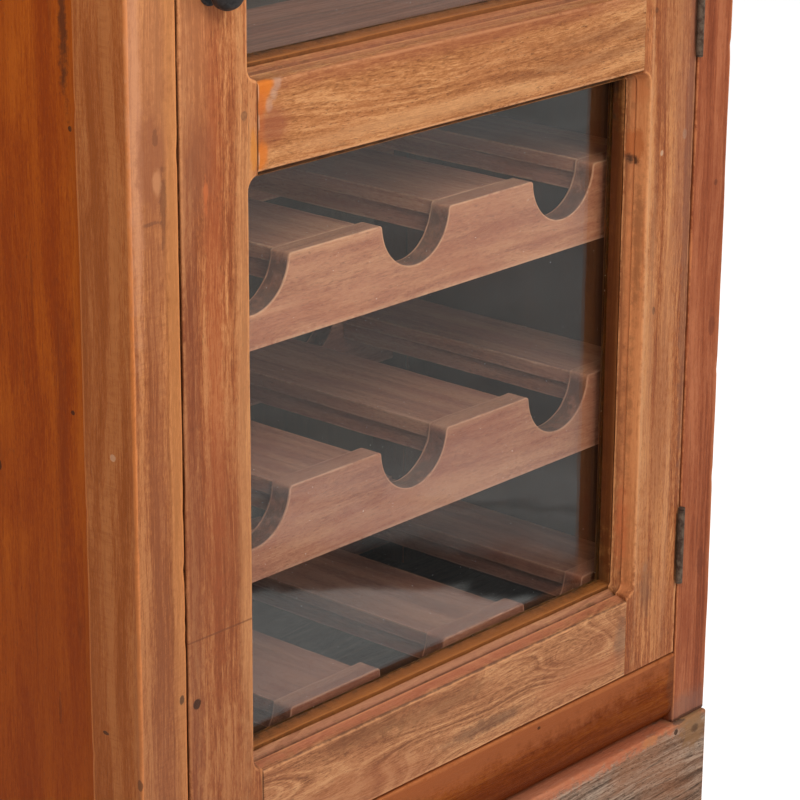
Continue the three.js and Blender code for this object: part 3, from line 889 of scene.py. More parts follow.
@dataclass
class Knob(Piece):
    """The forged knob: a ball on a neck, turned about its shank and dented by the hammer.

    Attributes:
        plate: The solid of the plate that its neck stands on.
        around: How many points go once round it.
        ball: The ball's radius, in metres.
        neck: The neck's radius, in metres.
        dent: How deep the hammer marks are, in metres.
        flare: How much wider the neck is at the plate, as a share.
        pole: How far round from its foremost point the ball's first row lies, in radians.
    """

    plate: str
    around: int = 64
    ball: float = 13 * MM
    neck: float = 4.5 * MM
    dent: float = 0.45 * MM
    flare: float = 0.35
    pole: float = 0.03

    prefix = "forged_"

    def skins(self) -> Skins:
        """Turns the line of the ball and the neck about the shank, and dents the ball.

        The ball is a circle up to the neck; the neck flares into the plate. The dents are a sum of
        slow waves of the turn and the height, which close round.
        """
        low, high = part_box(self.node)
        middle = (low + high) / 2
        centre = low.y + self.ball
        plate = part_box(self.plate)[0].y
        rise = math.asin(self.neck / self.ball)
        turn = np.linspace(self.pole, math.pi - rise, 40)
        radius = self.ball * np.sin(turn)
        depth = centre - self.ball * np.cos(turn)
        share = np.linspace(0, 1, 9)[1:]
        flare = self.neck * (1 + self.flare * share ** 3)
        radius = np.concatenate([radius, flare])
        depth = np.concatenate([depth, depth[-1] + share * (plate - depth[-1])])
        angle = np.linspace(0, 2 * math.pi, self.around, endpoint=False)
        s = np.concatenate([turn, np.full(len(share), turn[-1])])[:, None]
        wave = np.sin(5 * angle + 2 * s) * np.sin(4 * s) + 0.7 * np.sin(7 * angle - 5 * s + 1)
        fade = np.clip(radius / self.ball * 1.2 - 0.35, 0, 1)[:, None]
        reach = radius[:, None] - self.dent * fade * (0.6 + 0.5 * wave)
        points = np.stack([
            middle.x + reach * np.sin(angle), np.repeat(depth[:, None], self.around, axis=1),
            middle.z + reach * np.cos(angle),
        ], axis=2)
        flat = np.zeros(points.shape[:2])
        return [(Skin(points, flat, flat), Grain.DEEP, self.seed)]


# What feeds a node's input: a socket or a plain value, alone and in lists by name or number
Value = object
Inputs = dict[str | int, Value]
Socket = bpy.types.NodeSocket
Sockets = dict[str, Socket]


class Graph:
    """A short way to lay nodes into a tree and to link them."""

    def __init__(self, tree: bpy.types.NodeTree) -> None:
        """Keeps the tree."""
        self.tree = tree

    @classmethod
    def emptied(cls, owner: bpy.types.Material | bpy.types.World) -> "Graph":
        """The graph of a material or a world, whose own nodes are removed."""
        owner.use_nodes = True
        owner.node_tree.nodes.clear()
        return cls(owner.node_tree)

    def feed(self, socket: Socket, value: Value) -> None:
        """Links a socket, or sets its value where the value is not a socket."""
        if isinstance(value, Socket):
            self.tree.links.new(value, socket)
        else:
            socket.default_value = value

    def node(self, kind: str, inputs: Inputs | None = None, **settings: object) -> bpy.types.Node:
        """Adds a node with its settings, and feeds its inputs, which go by name or by number."""
        made = self.tree.nodes.new(kind)
        for label, value in settings.items():
            setattr(made, label, value)
        for label, value in (inputs or {}).items():
            self.feed(made.inputs[label], value)
        return made

    def maths(self, operation: str, *values: Value, clamp: bool = False) -> Socket:
        """Works out one operation on numbers."""
        inputs = dict(enumerate(values))
        return self.node("ShaderNodeMath", inputs, operation=operation, use_clamp=clamp).outputs[0]

    def layer(self, parts: Iterable[tuple[Socket, float]], base: Value = 0.0) -> Socket:
        """Adds shares of several values to a base, one after another."""
        for value, share in parts:
            base = self.maths("MULTIPLY_ADD", value, share, base)
        return base

    def vector(self, operation: str, *values: Value) -> Socket:
        """Works out one operation on vectors."""
        made = self.node("ShaderNodeVectorMath", dict(enumerate(values)), operation=operation)
        return made.outputs["Value" if operation in ("LENGTH", "DISTANCE") else "Vector"]

    def noise(self, vector: Value, size: Triple | float, detail: float = 3, rough: float = 0.55,
              out: str = "Fac") -> Socket:
        """A noise whose features have the given size in metres, one for all axes or one for each."""
        sizes = size if isinstance(size, tuple) else (size,) * 3
        scaled = self.vector("MULTIPLY", vector, tuple(1 / part for part in sizes))
        inputs = {"Vector": scaled, "Scale": 1.0, "Detail": detail, "Roughness": rough}
        return self.node("ShaderNodeTexNoise", inputs).outputs[out]

    def bands(self, distance: Value, pitch: Value, detail: float, rough: float = 0.5) -> Socket:
        """A noise of a distance alone, whose bands lie about the pitch apart."""
        inputs = {"W": self.maths("DIVIDE", distance, pitch), "Scale": 1.0, "Detail": detail,
                  "Roughness": rough}
        return self.node("ShaderNodeTexNoise", inputs, noise_dimensions="1D").outputs["Fac"]

    def step(self, value: Value, low: Value, high: Value, first: float = 0.0, last: float = 1.0) -> Socket:
        """A soft step from one value to another between two limits."""
        inputs = {"Value": value, "From Min": low, "From Max": high, "To Min": first, "To Max": last}
        return self.node("ShaderNodeMapRange", inputs, interpolation_type="SMOOTHSTEP").outputs["Result"]

    def blend(self, factor: Value, first: Value, second: Value) -> Socket:
        """Mixes two colours by a factor."""
        return self.node("ShaderNodeMix", {0: factor, 6: first, 7: second}, data_type="RGBA").outputs[2]

    def ramp(self, value: Value, stops: tuple[tuple[float, Colour], ...]) -> Socket:
        """Turns a value into a colour between the given stops."""
        made = self.node("ShaderNodeValToRGB", {"Fac": value})
        elements = made.color_ramp.elements
        for number, (position, colour) in enumerate((stops[0], stops[-1])):
            elements[number].position = position
            elements[number].color = colour
        for position, colour in stops[1:-1]:
            elements.new(position).color = colour
        return made.outputs["Color"]

    def bump(self, height: Value, depth: float, strength: float = 0.8) -> Socket:
        """Turns a height from 0 to 1 into a normal; the depth is the height of one, in metres."""
        inputs = {"Strength": strength, "Distance": depth, "Height": height}
        return self.node("ShaderNodeBump", inputs).outputs["Normal"]

    def shader(self, inputs: Inputs) -> Socket:
        """The main shader, with its inputs by name."""
        return self.node("ShaderNodeBsdfPrincipled", inputs).outputs["BSDF"]

    def place_value(self, name: str, out: str = "Fac") -> Socket:
        """The value that the mesh keeps at each point under a name."""
        return self.node("ShaderNodeAttribute", attribute_name=name).outputs[out]


class Effect:
    """A shared effect of the finishes: a node group that is built once and placed in each material.

    Attributes:
        name: The group's name.
        numbers: The names of its inputs that are numbers.
        vectors: The names of its inputs that are vectors.
    """

    name = ""
    numbers: tuple[str, ...] = ()
    vectors: tuple[str, ...] = ("Place",)

    @classmethod
    def lay(cls, graph: Graph, given: Sockets) -> Sockets:
        """Lays the effect's nodes between its inputs and the sockets that it puts out, by name."""
        raise NotImplementedError

    @classmethod
    def group(cls) -> bpy.types.NodeTree:
        """Builds the group, or finds it where it is built already; all its outputs are numbers."""
        tree = bpy.data.node_groups.get(cls.name)
        if tree is None:
            tree = bpy.data.node_groups.new(cls.name, "ShaderNodeTree")
            for kind, labels in (("NodeSocketFloat", cls.numbers), ("NodeSocketVector", cls.vectors)):
                for label in labels:
                    tree.interface.new_socket(name=label, in_out="INPUT", socket_type=kind)
            graph = Graph(tree)
            made = cls.lay(graph, graph.node("NodeGroupInput").outputs)
            for label in made:
                tree.interface.new_socket(name=label, in_out="OUTPUT", socket_type="NodeSocketFloat")
            graph.node("NodeGroupOutput", made)
        return tree

    @classmethod
    def placed(cls, graph: Graph, **values: Value) -> Sockets:
        """Places the group in a material with the values of its inputs, and gives its outputs."""
        return graph.node("ShaderNodeGroup", values, node_tree=cls.group()).outputs


class Figure(Effect):
    """The figure of wood, from a vector whose third number runs along the grain.

    The growth bands are a noise of the distance from the pith, after the place is pushed about
    by a slow noise and a small one. The swirl adds a broad noise to the distance, which closes
    bands to loops. The zones, the fibres, the flecks and the pores are noises that are drawn out
    along the grain, the clouds are broad patches, and the rungs lie across the grain. The lines
    and the rungs show in patches only.
    """

    name = "wood_figure"
    numbers = ("Pitch", "Sway", "Swirl")
    vectors = ("Grain",)

    @classmethod
    def lay(cls, graph: Graph, given: Sockets) -> Sockets:
        """Lays the noises of the figure."""
        grain = given["Grain"]
        middle = (0.5, 0.5, 0.5)
        push = graph.vector("SUBTRACT", graph.noise(grain, (0.11, 0.11, 0.42), 2, 0.5, "Color"), middle)
        amount = graph.node("ShaderNodeCombineXYZ", {0: given["Sway"], 1: given["Sway"]}).outputs[0]
        pushed = graph.vector("ADD", grain, graph.vector("MULTIPLY", push, amount))
        small = graph.vector("SUBTRACT", graph.noise(grain, (0.009, 0.009, 0.05), 2, 0.5, "Color"), middle)
        pushed = graph.vector("ADD", pushed, graph.vector("MULTIPLY", small, (0.003, 0.003, 0)))
        flat = graph.vector("LENGTH", graph.vector("MULTIPLY", pushed, (1, 1, 0.012)))
        swirl = graph.noise(grain, (0.05, 0.05, 0.17), 1, 0.4)
        distance = graph.maths("MULTIPLY_ADD", swirl, given["Swirl"], flat)
        made = {"Bands": graph.step(graph.bands(distance, given["Pitch"], 4, 0.6), 0.25, 0.75)}
        for label, vector, size, detail, rough, low, high in (
            ("Zones", pushed, (0.02, 0.02, 0.34), 3, 0.55, 0.3, 0.7),
            ("Fibre", pushed, (0.0013, 0.0013, 0.045), 5, 0.7, 0.32, 0.68),
            ("Fleck", grain, (0.0014, 0.0014, 0.0065), 4, 0.8, 0.32, 0.68),
            ("Pores", grain, (0.0011, 0.0011, 0.006), 3, 0.6, 0.58, 0.7),
            ("Cloud", grain, (0.045, 0.045, 0.11), 4, 0.6, 0.36, 0.68),
            ("Lines", pushed, (0.0032, 0.0032, 0.2), 3, 0.6, 0.55, 0.72),
            ("Rungs", grain, (0.016, 0.016, 0.0024), 3, 0.65, 0.46, 0.66),
        ):
            made[label] = graph.step(graph.noise(vector, size, detail, rough), low, high)
        for label, size, high in (("Lines", (0.025, 0.025, 0.12), 0.6), ("Rungs", (0.03, 0.03, 0.2), 0.62)):
            patch = graph.step(graph.noise(grain, size, 2, 0.5), 0.42, high)
            made[label] = graph.maths("MULTIPLY", made[label], patch)
        return made


class EdgeWear(Effect):
    """The wear of edges: where a rough noise passes a threshold near an edge, the wood is bare."""

    name = "edge_wear"
    numbers = ("Edge", "Amount")

    @classmethod
    def lay(cls, graph: Graph, given: Sockets) -> Sockets:
        """Lays the two noises and their threshold."""
        rough = graph.maths("MULTIPLY", graph.noise(given["Place"], 0.006, 4, 0.7), 0.65)
        broad = graph.maths("MULTIPLY", graph.noise(given["Place"], 0.07, 2, 0.5), 0.5)
        amount = graph.maths("SUBTRACT", given["Amount"], 0.5)
        mask = graph.step(graph.maths("ADD", graph.maths("ADD", rough, broad), amount), 0.42, 0.62)
        return {"Bare": graph.maths("MULTIPLY", mask, given["Edge"], clamp=True)}


class PlacedMark(Effect):
    """A placed mark: an ellipsoid about its middle, with a ragged edge."""

    name = "placed_mark"
    numbers = ("Ragged", "Soft")
    vectors = ("Place", "Middle", "Reach")

    @classmethod
    def lay(cls, graph: Graph, given: Sockets) -> Sockets:
        """Lays the distance in reaches, pushed about by a noise, and its soft step at one."""
        away = graph.vector("SUBTRACT", given["Place"], given["Middle"])
        distance = graph.vector("LENGTH", graph.vector("DIVIDE", away, given["Reach"]))
        noise = graph.noise(given["Place"], 0.009, 5, 0.7)
        pushed = graph.maths("MULTIPLY", graph.maths("SUBTRACT", noise, 0.5), given["Ragged"])
        far = graph.maths("ADD", 1.0, given["Soft"])
        near = graph.maths("SUBTRACT", 1.0, given["Soft"])
        return {"Mask": graph.step(graph.maths("ADD", distance, pushed), far, near)}


class SawMarks(Effect):
    """The marks of a round saw: a noise of the distance from a far middle, in broad patches."""

    name = "saw_marks"
    numbers = ("Pitch",)
    vectors = ("Place", "Middle")

    @classmethod
    def lay(cls, graph: Graph, given: Sockets) -> Sockets:
        """Lays the lines and the patches that they show in."""
        reach = graph.vector("LENGTH", graph.vector("SUBTRACT", given["Place"], given["Middle"]))
        lines = graph.step(graph.bands(reach, given["Pitch"], 1), 0.42, 0.62)
        patch = graph.step(graph.noise(given["Place"], (0.04, 0.04, 0.08), 2, 0.5), 0.4, 0.6)
        return {"Lines": graph.maths("MULTIPLY", lines, patch)}


class GrimeAndShade(Effect):
    """Darkening by dirt and painted shade where the hollow value marks it, and dust on what faces up, both
    broken by noise.
    """

    name = "grime_shade_and_dust"
    numbers = ("Hollow", "Amount")

    @classmethod
    def lay(cls, graph: Graph, given: Sockets) -> Sockets:
        """Lays the noise, and lets the corners and the upward faces show through it."""
        noise = graph.noise(given["Place"], 0.012, 4, 0.7)
        # The hollow value darkens with dirt and painted shade.
        dirt = graph.maths("MULTIPLY", given["Hollow"], graph.step(noise, 0.25, 0.6, 0.4, 1.0))
        normal = graph.node("ShaderNodeNewGeometry").outputs["Normal"]
        up = graph.step(graph.node("ShaderNodeSeparateXYZ", {0: normal}).outputs[2], 0.5, 0.95)
        veil = graph.maths("MULTIPLY", up, graph.step(noise, 0.2, 0.75, 0.3, 1.0))
        return {"Dirt_and_shade": dirt, "Dust": graph.maths("MULTIPLY", veil, given["Amount"])}


@dataclass(frozen=True)
class Mark:
    """A mark at a place on a finish: a knot, a plug, a filled nail hole, a chip, a streak, or a patch of
    painted shade or painted light.

    Attributes:
        middle: Its middle as X, depth and Z, in millimetres; the depth is from the front plane.
        reach: Its half sizes, in millimetres.
        colour: Its colour.
        strength: How strongly the colour covers, from 0 to 1.
        ragged: How ragged its edge is.
        sink: How far it is sunk, as a share of the bump; minus for proud.
        soft: How soft its edge is, as a share of its reach.
    """

    middle: Triple
    reach: Triple
    colour: Colour
    strength: float = 0.85
    ragged: float = 1.2
    sink: float = 0.5
    soft: float = 0.14


def marked(*rows: tuple) -> tuple[Mark, ...]:
    """Marks from rows of their values, in which the colours are screen values from 0 to 255."""
    return tuple(Mark(middle, reach, tone(*screen), *rest) for middle, reach, screen, *rest in rows)


WHITE = (1.0, 1.0, 1.0, 1.0)

# The colour of dust
DUST = tone(170, 158, 148)


def spot(middle: Triple) -> Triple:
    """A place in metres, from its X, its depth behind the front plane and its Z in millimetres."""
    x, depth, z = middle
    return x * MM, FRONT + depth * MM, z * MM


@dataclass(frozen=True)
class Finish:
    """A finish, whose material is made when it is first asked for.

    Attributes:
        name: The material's name.
        slot: The record's slot; not used.
    """

    name: str
    slot: str

    def surface(self, graph: Graph, where: Socket) -> Socket:
        """Lays the finish's nodes.

        Args:
            graph: The material's graph.
            where: The place on the piece, in metres.

        Returns:
            The shader that the surface shows.
        """
        raise NotImplementedError

    def material(self) -> bpy.types.Material:
        """Makes the finish's material, or finds it where it is made already."""
        label = self.name + "_finish"
        made = bpy.data.materials.get(label)
        if made is None:
            made = bpy.data.materials.new(label)
            graph = Graph.emptied(made)
            where = graph.node("ShaderNodeTexCoord").outputs["Object"]
            graph.node("ShaderNodeOutputMaterial", {"Surface": self.surface(graph, where)})
        return made


@dataclass(frozen=True)
class WoodFinish(Finish):
    """A wood finish.

    Attributes:
        dark: The colour of the dark bands.
        middle: The main colour.
        light: The colour of the light bands.
        patch: The colour of the broad patches.
        bare: The colour of worn edges.
        line: The colour of the fine dark lines and the pores.
        pitch: How far apart the growth bands are, in metres.
        sway: How far the bands are pushed about, in metres.
        swirl: How strongly the bands close to loops, in metres.
        weights: The shares of the bands, the zones, the fibres and the flecks in the colour.
        spread: How far from the middle of that sum the dark and the light colour lie.
        patches: How strong the broad patches are.
        lines: How strong the dark lines are.
        pores: How dark the pores are.
        rungs: How strong the cross marks are.
        wear: How much of the edges is worn, from 0 to 1.
        dust: How much dust lies on what faces up.
        rough: The roughness of the flat wood.
        gloss: The specular level.
        relief: How deep the bump is, in metres.
        along: The way of the grain for a solid that has no grain attribute.
        pith: Where the grain's middle lies in such a solid, in metres.
        saw: The middle of the saw marks as X, depth and Z, in millimetres, where it has them.
        saw_pitch: How far apart the saw marks are, in metres.
        marks: The placed marks.
    """

    dark: Colour
    middle: Colour
    light: Colour
    patch: Colour
    bare: Colour
    line: Colour = tone(70, 36, 20)
    pitch: float = 5 * MM
    sway: float = 30 * MM
    swirl: float = 14 * MM
    weights: tuple[float, ...] = (0.3, 0.3, 0.22, 0.18)
    spread: float = 0.23
    patches: float = 0.35
    lines: float = 0.35
    pores: float = 0.4
    rungs: float = 0.0
    wear: float = 0.5
    dust: float = 0.0
    rough: float = 0.5
    gloss: float = 0.16
    relief: float = 0.3 * MM
    along: Grain | None = None
    pith: Triple = (0.11, 0.04, 0.3)
    saw: Triple | None = None
    saw_pitch: float = 2.1 * MM
    marks: tuple[Mark, ...] = ()

    def shaded(self, name: str, shares: Triple) -> "WoodFinish":
        """The same finish under another name, with the red, green and blue of its colours scaled; a darker
        copy is painted shade.
        """
        tones = {key: tuple(share * part for share, part in zip(shares, getattr(self, key))) + (1.0,)
                 for key in ("dark", "middle", "light", "patch", "bare", "line")}
        return replace(self, name=name, **tones)

    def grain(self, graph: Graph, where: Socket) -> Socket:
        """The vector of the grain: the piece's own, or the place turned where it has none."""
        if self.along is None:
            return graph.place_value("grain", "Vector")
        quarter = math.radians(90)
        turns = {Grain.ACROSS: (0, -quarter, 0), Grain.DEEP: (quarter, 0, 0), Grain.UPRIGHT: (0, 0, 0)}
        inputs = {"Vector": where, "Location": self.pith, "Rotation": turns[self.along]}
        return graph.node("ShaderNodeMapping", inputs).outputs["Vector"]

    def surface(self, graph: Graph, where: Socket) -> Socket:
        """Lays the figure, the wear, the dirt and painted shade, the dust, the saw marks and the placed
        marks.

        The bands, zones, fibres and flecks are summed and coloured by a ramp. Patches, rungs,
        lines and pores are laid over it, then the worn edges, the dirt and painted shade, the dust
        and the marks.
        The height is a sum of the same values.
        """
        figure = Figure.placed(
            graph, Grain=self.grain(graph, where), Pitch=self.pitch, Sway=self.sway, Swirl=self.swirl)
        tones = (figure["Bands"], figure["Zones"], figure["Fibre"], figure["Fleck"])
        share = graph.layer(zip(tones, self.weights))
        colour = graph.ramp(share, (
            (0.5 - self.spread, self.dark), (0.5, self.middle), (0.5 + self.spread, self.light)))
        wear = EdgeWear.placed(graph, Edge=graph.place_value("arris"), Place=where, Amount=self.wear)
        # The hollow value darkens corners, gaps and quirks with dirt and painted shade.
        grime_and_shade = GrimeAndShade.placed(graph, Hollow=graph.place_value("hollow"), Place=where, Amount=self.dust)
        deep = tuple(0.4 * part for part in self.line[:3]) + (1.0,)
        for mask, strength, over in (
            (figure["Cloud"], self.patches, self.patch), (figure["Rungs"], self.rungs, self.dark),
            (figure["Lines"], self.lines, self.line), (figure["Pores"], self.pores, self.line),
            (wear["Bare"], 0.75, self.bare), (grime_and_shade["Dirt_and_shade"], 0.8, deep), (grime_and_shade["Dust"], 1.0, DUST),
        ):
            colour = graph.blend(graph.maths("MULTIPLY", mask, strength), colour, over)
        height = graph.layer((
            (figure["Fibre"], 0.3), (figure["Fleck"], 0.35), (figure["Bands"], 0.2),
            (figure["Pores"], -0.6 * self.pores), (figure["Lines"], -0.5 * self.lines),
            (figure["Rungs"], -0.5 * self.rungs),
        ))
        if self.saw:
            cut = SawMarks.placed(graph, Place=where, Middle=spot(self.saw), Pitch=self.saw_pitch)["Lines"]
            colour = graph.blend(graph.maths("MULTIPLY", cut, 0.16), colour, self.dark)
            height = graph.layer(((cut, -0.12),), height)
        for mark in self.marks:
            mask = PlacedMark.placed(
                graph, Place=where, Middle=spot(mark.middle), Reach=tuple(part * MM for part in mark.reach),
                Ragged=mark.ragged, Soft=mark.soft)["Mask"]
            colour = graph.blend(graph.maths("MULTIPLY", mask, mark.strength), colour, mark.colour)
            height = graph.layer(((mask, -mark.sink),), height)
        rough = graph.layer(
            ((figure["Fibre"], -0.12), (wear["Bare"], 0.12), (grime_and_shade["Dust"], 0.4)), self.rough + 0.06)
        return graph.shader({
            "Base Color": colour, "Roughness": rough, "Normal": graph.bump(height, self.relief),
            "Specular IOR Level": self.gloss,
        })


@dataclass(frozen=True)
class MetalFinish(Finish):
    """A metal finish: a base colour with blotches, scratches and rust.

    Attributes:
        base: The metal's colour.
        blotch: The colour of its blotches.
        metallic: How metallic it is.
        rough: Its roughness.
        size: The size of the blotches, in metres.
        speck: The size of the fine specks, in metres.
        relief: How deep the bump is, in metres.
    """

    base: Colour
    blotch: Colour
    metallic: float = 0.85
    rough: float = 0.45
    size: float = 6 * MM
    speck: float = 1.2 * MM
    relief: float = 0.25 * MM

    def surface(self, graph: Graph, where: Socket) -> Socket:
        """Lays two noises, which colour, roughen and dull the metal."""
        broad = graph.noise(where, self.size, 5, 0.65)
        fine = graph.noise(where, self.speck, 3, 0.6)
        blotch = graph.step(broad, 0.42, 0.62)
        colour = graph.blend(blotch, self.base, self.blotch)
        colour = graph.blend(graph.step(fine, 0.55, 0.75, 0.0, 0.5), colour, self.blotch)
        height = graph.layer(((fine, 0.3), (broad, 0.8)))
        return graph.shader({
            "Base Color": colour, "Roughness": graph.layer(((blotch, 0.25), (fine, 0.1)), self.rough),
            "Metallic": graph.layer(((blotch, -0.5 * self.metallic),), self.metallic),
            "Normal": graph.bump(height, self.relief),
        })


@dataclass(frozen=True)
class GlassFinish(Finish):
    """Old window glass: clear, slightly uneven, with a little dust, and open to shadow rays.

    Attributes:
        tint: The glass's colour.
        shade: The colour of the light that it lets through to what lies behind.
        wave: The size of the waves in it, in metres.
        speck: The size of the specks of dust, in metres.
        relief: How deep the waves are, in metres.
    """

    tint: Colour = tone(246, 250, 247)
    shade: Colour = tone(240, 244, 241)
    wave: Triple = (0.16, 0.16, 0.07)
    speck: float = 2.2 * MM
    relief: float = 0.35 * MM

    def surface(self, graph: Graph, where: Socket) -> Socket:
        """Lays the waves and the dust; a shadow ray meets a clear sheet instead of the glass."""
        dust = graph.step(graph.noise(where, self.speck, 2, 0.5), 0.73, 0.8)
        waves = graph.bump(graph.noise(where, self.wave, 2, 0.5), self.relief, 1.0)
        glass = graph.shader({
            "Base Color": graph.blend(dust, self.tint, tone(200, 195, 185)),
            "Roughness": graph.maths("MULTIPLY", dust, 0.5), "Normal": waves,
            "Transmission Weight": 1.0, "IOR": 1.5,
        })
        clear = graph.node("ShaderNodeBsdfTransparent", {"Color": self.shade}).outputs["BSDF"]
        shadow = graph.node("ShaderNodeLightPath").outputs["Is Shadow Ray"]
        return graph.node("ShaderNodeMixShader", {0: shadow, 1: glass, 2: clear}).outputs["Shader"]


LEFT_POST = WoodFinish(
    name="left_post_wood", slot="post_wood",
    dark=tone(134, 72, 36), middle=tone(168, 99, 55), light=tone(198, 130, 78),
    patch=tone(150, 84, 48), bare=tone(226, 140, 80),
    pitch=4 * MM, sway=22 * MM, weights=(0.22, 0.34, 0.22, 0.22), spread=0.17, rungs=0.4, wear=0.6,
    saw=(-480, 30, 700),
    marks=marked(
        ((-376, 27, 750), (4, 40, 1100), (150, 72, 4), 0.52, 0.5, 0),
        ((-350, 0, 880), (26, 3, 170), (196, 134, 90), 0.4, 1.2, 0, 0.8),
        ((-331, 0, 620), (7, 3, 330), (206, 136, 78), 0.5, 1.8, 0, 0.6),
        ((-350, 0, 600), (8, 3, 200), (142, 80, 48), 0.45, 2.6, 0, 0.7),
        ((-367, 0, 820), (6, 3, 160), (206, 146, 112), 0.45, 1.8, 0, 0.6),
        ((-356, 0, 240), (26, 6, 300), (140, 86, 58), 0.4, 1.0, 0, 0.8),
        # Painted shade: the inner face and the front face of the back post, dark grey inside the cabinet.
        ((-324, 368, 790), (3, 27, 1100), (58, 54, 50), 0.85, 0.1, 0),
        ((-349, 344, 790), (40, 3, 1100), (58, 54, 50), 0.85, 0.1, 0),
        ((-352, 0, 790), (14, 4, 32), (146, 86, 56), 0.6, 1.8, 0.1, 0.3),
        ((-340, 0, 752), (3, 4, 26), (96, 56, 38), 0.5, 3.0, 0.3, 0.4),
        ((-352, 0, 742), (9, 4, 1.6), (100, 62, 46), 0.5, 3.0, 0.3, 0.4),
        ((-346, 0, 772), (4, 4, 9), (210, 146, 100), 0.5, 1.6, 0, 0.4),
        ((-347, 0, 806), (3, 4, 7), (96, 58, 40), 0.4, 1.6, 0.3),
        ((-329.6, 1, 353.7), (2.6, 3, 4), (84, 56, 38)),
        ((-374.6, 2, 295.5), (2, 3, 5), (110, 66, 40)),
        ((-374.4, 39.4, 328.6), (2, 3, 1.6), (70, 40, 24)),
        ((-374.4, 24, 560), (2, 3, 3), (196, 150, 116), 0.6),
    ),
)
RIGHT_POST = WoodFinish(
    name="right_post_wood", slot="post_wood",
    dark=tone(126, 60, 32), middle=tone(158, 84, 50), light=tone(182, 108, 70),
    patch=tone(140, 66, 36), bare=tone(200, 122, 76),
    pitch=7 * MM, weights=(0.28, 0.44, 0.12, 0.16), patches=0.5, lines=0.3, pores=0.3,
    marks=marked(
        # Painted shade: the inner face and the front face of the back post, dark grey inside the cabinet.
        ((324, 368, 790), (3, 27, 1100), (58, 54, 50), 0.85, 0.1, 0),
        ((349, 344, 790), (40, 3, 1100), (58, 54, 50), 0.85, 0.1, 0),
        ((349, 0, 118), (34, 5, 16), (128, 96, 82), 0.5, 1.6, 0, 0.6),
        ((351, 0, 111), (30, 6, 3.4), (72, 46, 34), 0.75, 1.4, 0.3),
        ((358.8, 0, 268), (6, 3, 16), (108, 52, 32), 0.5, 1.6, 0.1),
        ((362, 0, 500), (5, 3, 9), (112, 54, 34), 0.5, 1.6, 0.1),
        ((357, 0, 640), (8, 3, 40), (134, 62, 34), 0.4, 1.6, 0, 0.8),
        ((359, 0, 638), (2.4, 3, 3), (92, 44, 28), 0.6, 2.0, 0.2),
    ),
)
FRONT_RAIL = WoodFinish(
    name="front_rail_wood", slot="post_wood",
    dark=tone(96, 36, 0), middle=tone(124, 54, 2), light=tone(150, 78, 20),
    patch=tone(104, 42, 0), bare=tone(190, 118, 74),
    pitch=6 * MM, sway=20 * MM, weights=(0.2, 0.34, 0.24, 0.22), gloss=0.06,
    marks=marked(
        # Painted light: a lighter band on the rail's upper face and a light line along its top arris.
        ((0, 0, 184), (420, 8, 27), (170, 96, 54), 0.7, 1.6, 0, 0.5),
        ((0, 0.5, 184.6), (420, 2.5, 2), (214, 134, 80), 0.7, 1.6, 0, 0.5),
        # Painted shade: the rail's lower part, at its rounding above the plinth, made dark.
        ((0, 6, 112), (420, 16, 32), (94, 34, 0), 0.85, 0.9, 0, 0.6),
        ((118.8, 0, 175.6), (2.4, 3, 1.6), (70, 36, 20)),
        ((322, 0, 150), (8, 6, 30), (96, 56, 36), 0.4, 2.0, 0.1),
    ),
)
SIDE_PANEL = WoodFinish(
    name="side_panel_wood", slot="panel_wood",
    dark=tone(136, 54, 4), middle=tone(156, 70, 8), light=tone(174, 86, 16),
    patch=tone(142, 58, 6), bare=tone(196, 108, 44),
    pitch=9 * MM, weights=(0.24, 0.28, 0.24, 0.24), wear=0.3, rough=0.42, gloss=0.09, relief=0.15 * MM,
    marks=marked(
        # Painted shade: the inner faces of both side panels, dark grey inside the cabinet.
        ((-354, 200, 750), (4, 400, 1300), (52, 49, 45), 0.88, 0.2, 0),
        ((354, 200, 750), (4, 400, 1300), (52, 49, 45), 0.88, 0.2, 0),
        ((-370.5, 70, 890), (3, 4, 56), (58, 32, 18), 0.7, 3.4, 0.4, 0.6),
        ((-370.5, 65.2, 805.9), (3, 2.2, 2), (64, 34, 18)),
        ((-370.5, 71, 583.9), (3, 2.2, 2), (56, 28, 14)),
        ((-370.5, 157.4, 520.7), (3, 2, 4), (60, 30, 16)),
        ((-370.5, 96, 330), (3, 1.6, 13), (78, 38, 18), 0.5, 2.0),
        ((-370.5, 60, 650), (3, 4, 900), (184, 92, 20), 0.3, 0.8, 0),
        ((-370.5, 100, 330), (3, 60, 160), (128, 54, 14), 0.4, 1.2, 0, 0.8),
        ((-370.5, 84, 560), (3, 6, 110), (118, 50, 14), 0.35, 3.0, 0.1, 0.6),
    ),
)
INSIDE_WOOD = WoodFinish(
    name="inside_wood", slot="inside_wood",
    dark=tone(130, 76, 56), middle=tone(156, 94, 70), light=tone(176, 112, 86),
    patch=tone(112, 72, 56), bare=tone(160, 112, 88),
    wear=0.3, dust=0.12, rough=0.7, gloss=0.1,
    marks=marked(((0, 0, 798), (500, 60.5, 30), (98, 60, 46), 0.5, 0.1, 0.2)),
)
BACK_WOOD = WoodFinish(
    name="back_wood", slot="inside_wood",
    dark=tone(104, 64, 40), middle=tone(138, 92, 60), light=tone(162, 116, 80),
    patch=tone(124, 84, 58), bare=tone(178, 130, 92),
    pitch=8 * MM, sway=40 * MM, swirl=30 * MM, wear=0.3, rough=0.75, gloss=0.08,
    # The mark is painted shade: the back panel's front face, dark grey inside the cabinet.
    marks=marked(((0, 388, 790), (1500, 5, 1500), (74, 70, 66), 0.88, 0.1, 0)),
)
# A darker copy of the inside wood for the shelves deep inside: painted shade.
INSIDE_LOOSE = WoodFinish(
    name="inside_shelf_painted_shade", slot="inside_wood",
    dark=tone(54, 38, 30), middle=tone(70, 50, 40), light=tone(86, 64, 52),
    patch=tone(62, 46, 38), bare=tone(100, 78, 64),
    wear=0.3, dust=0.1, rough=0.7, gloss=0.1, along=Grain.ACROSS,
)
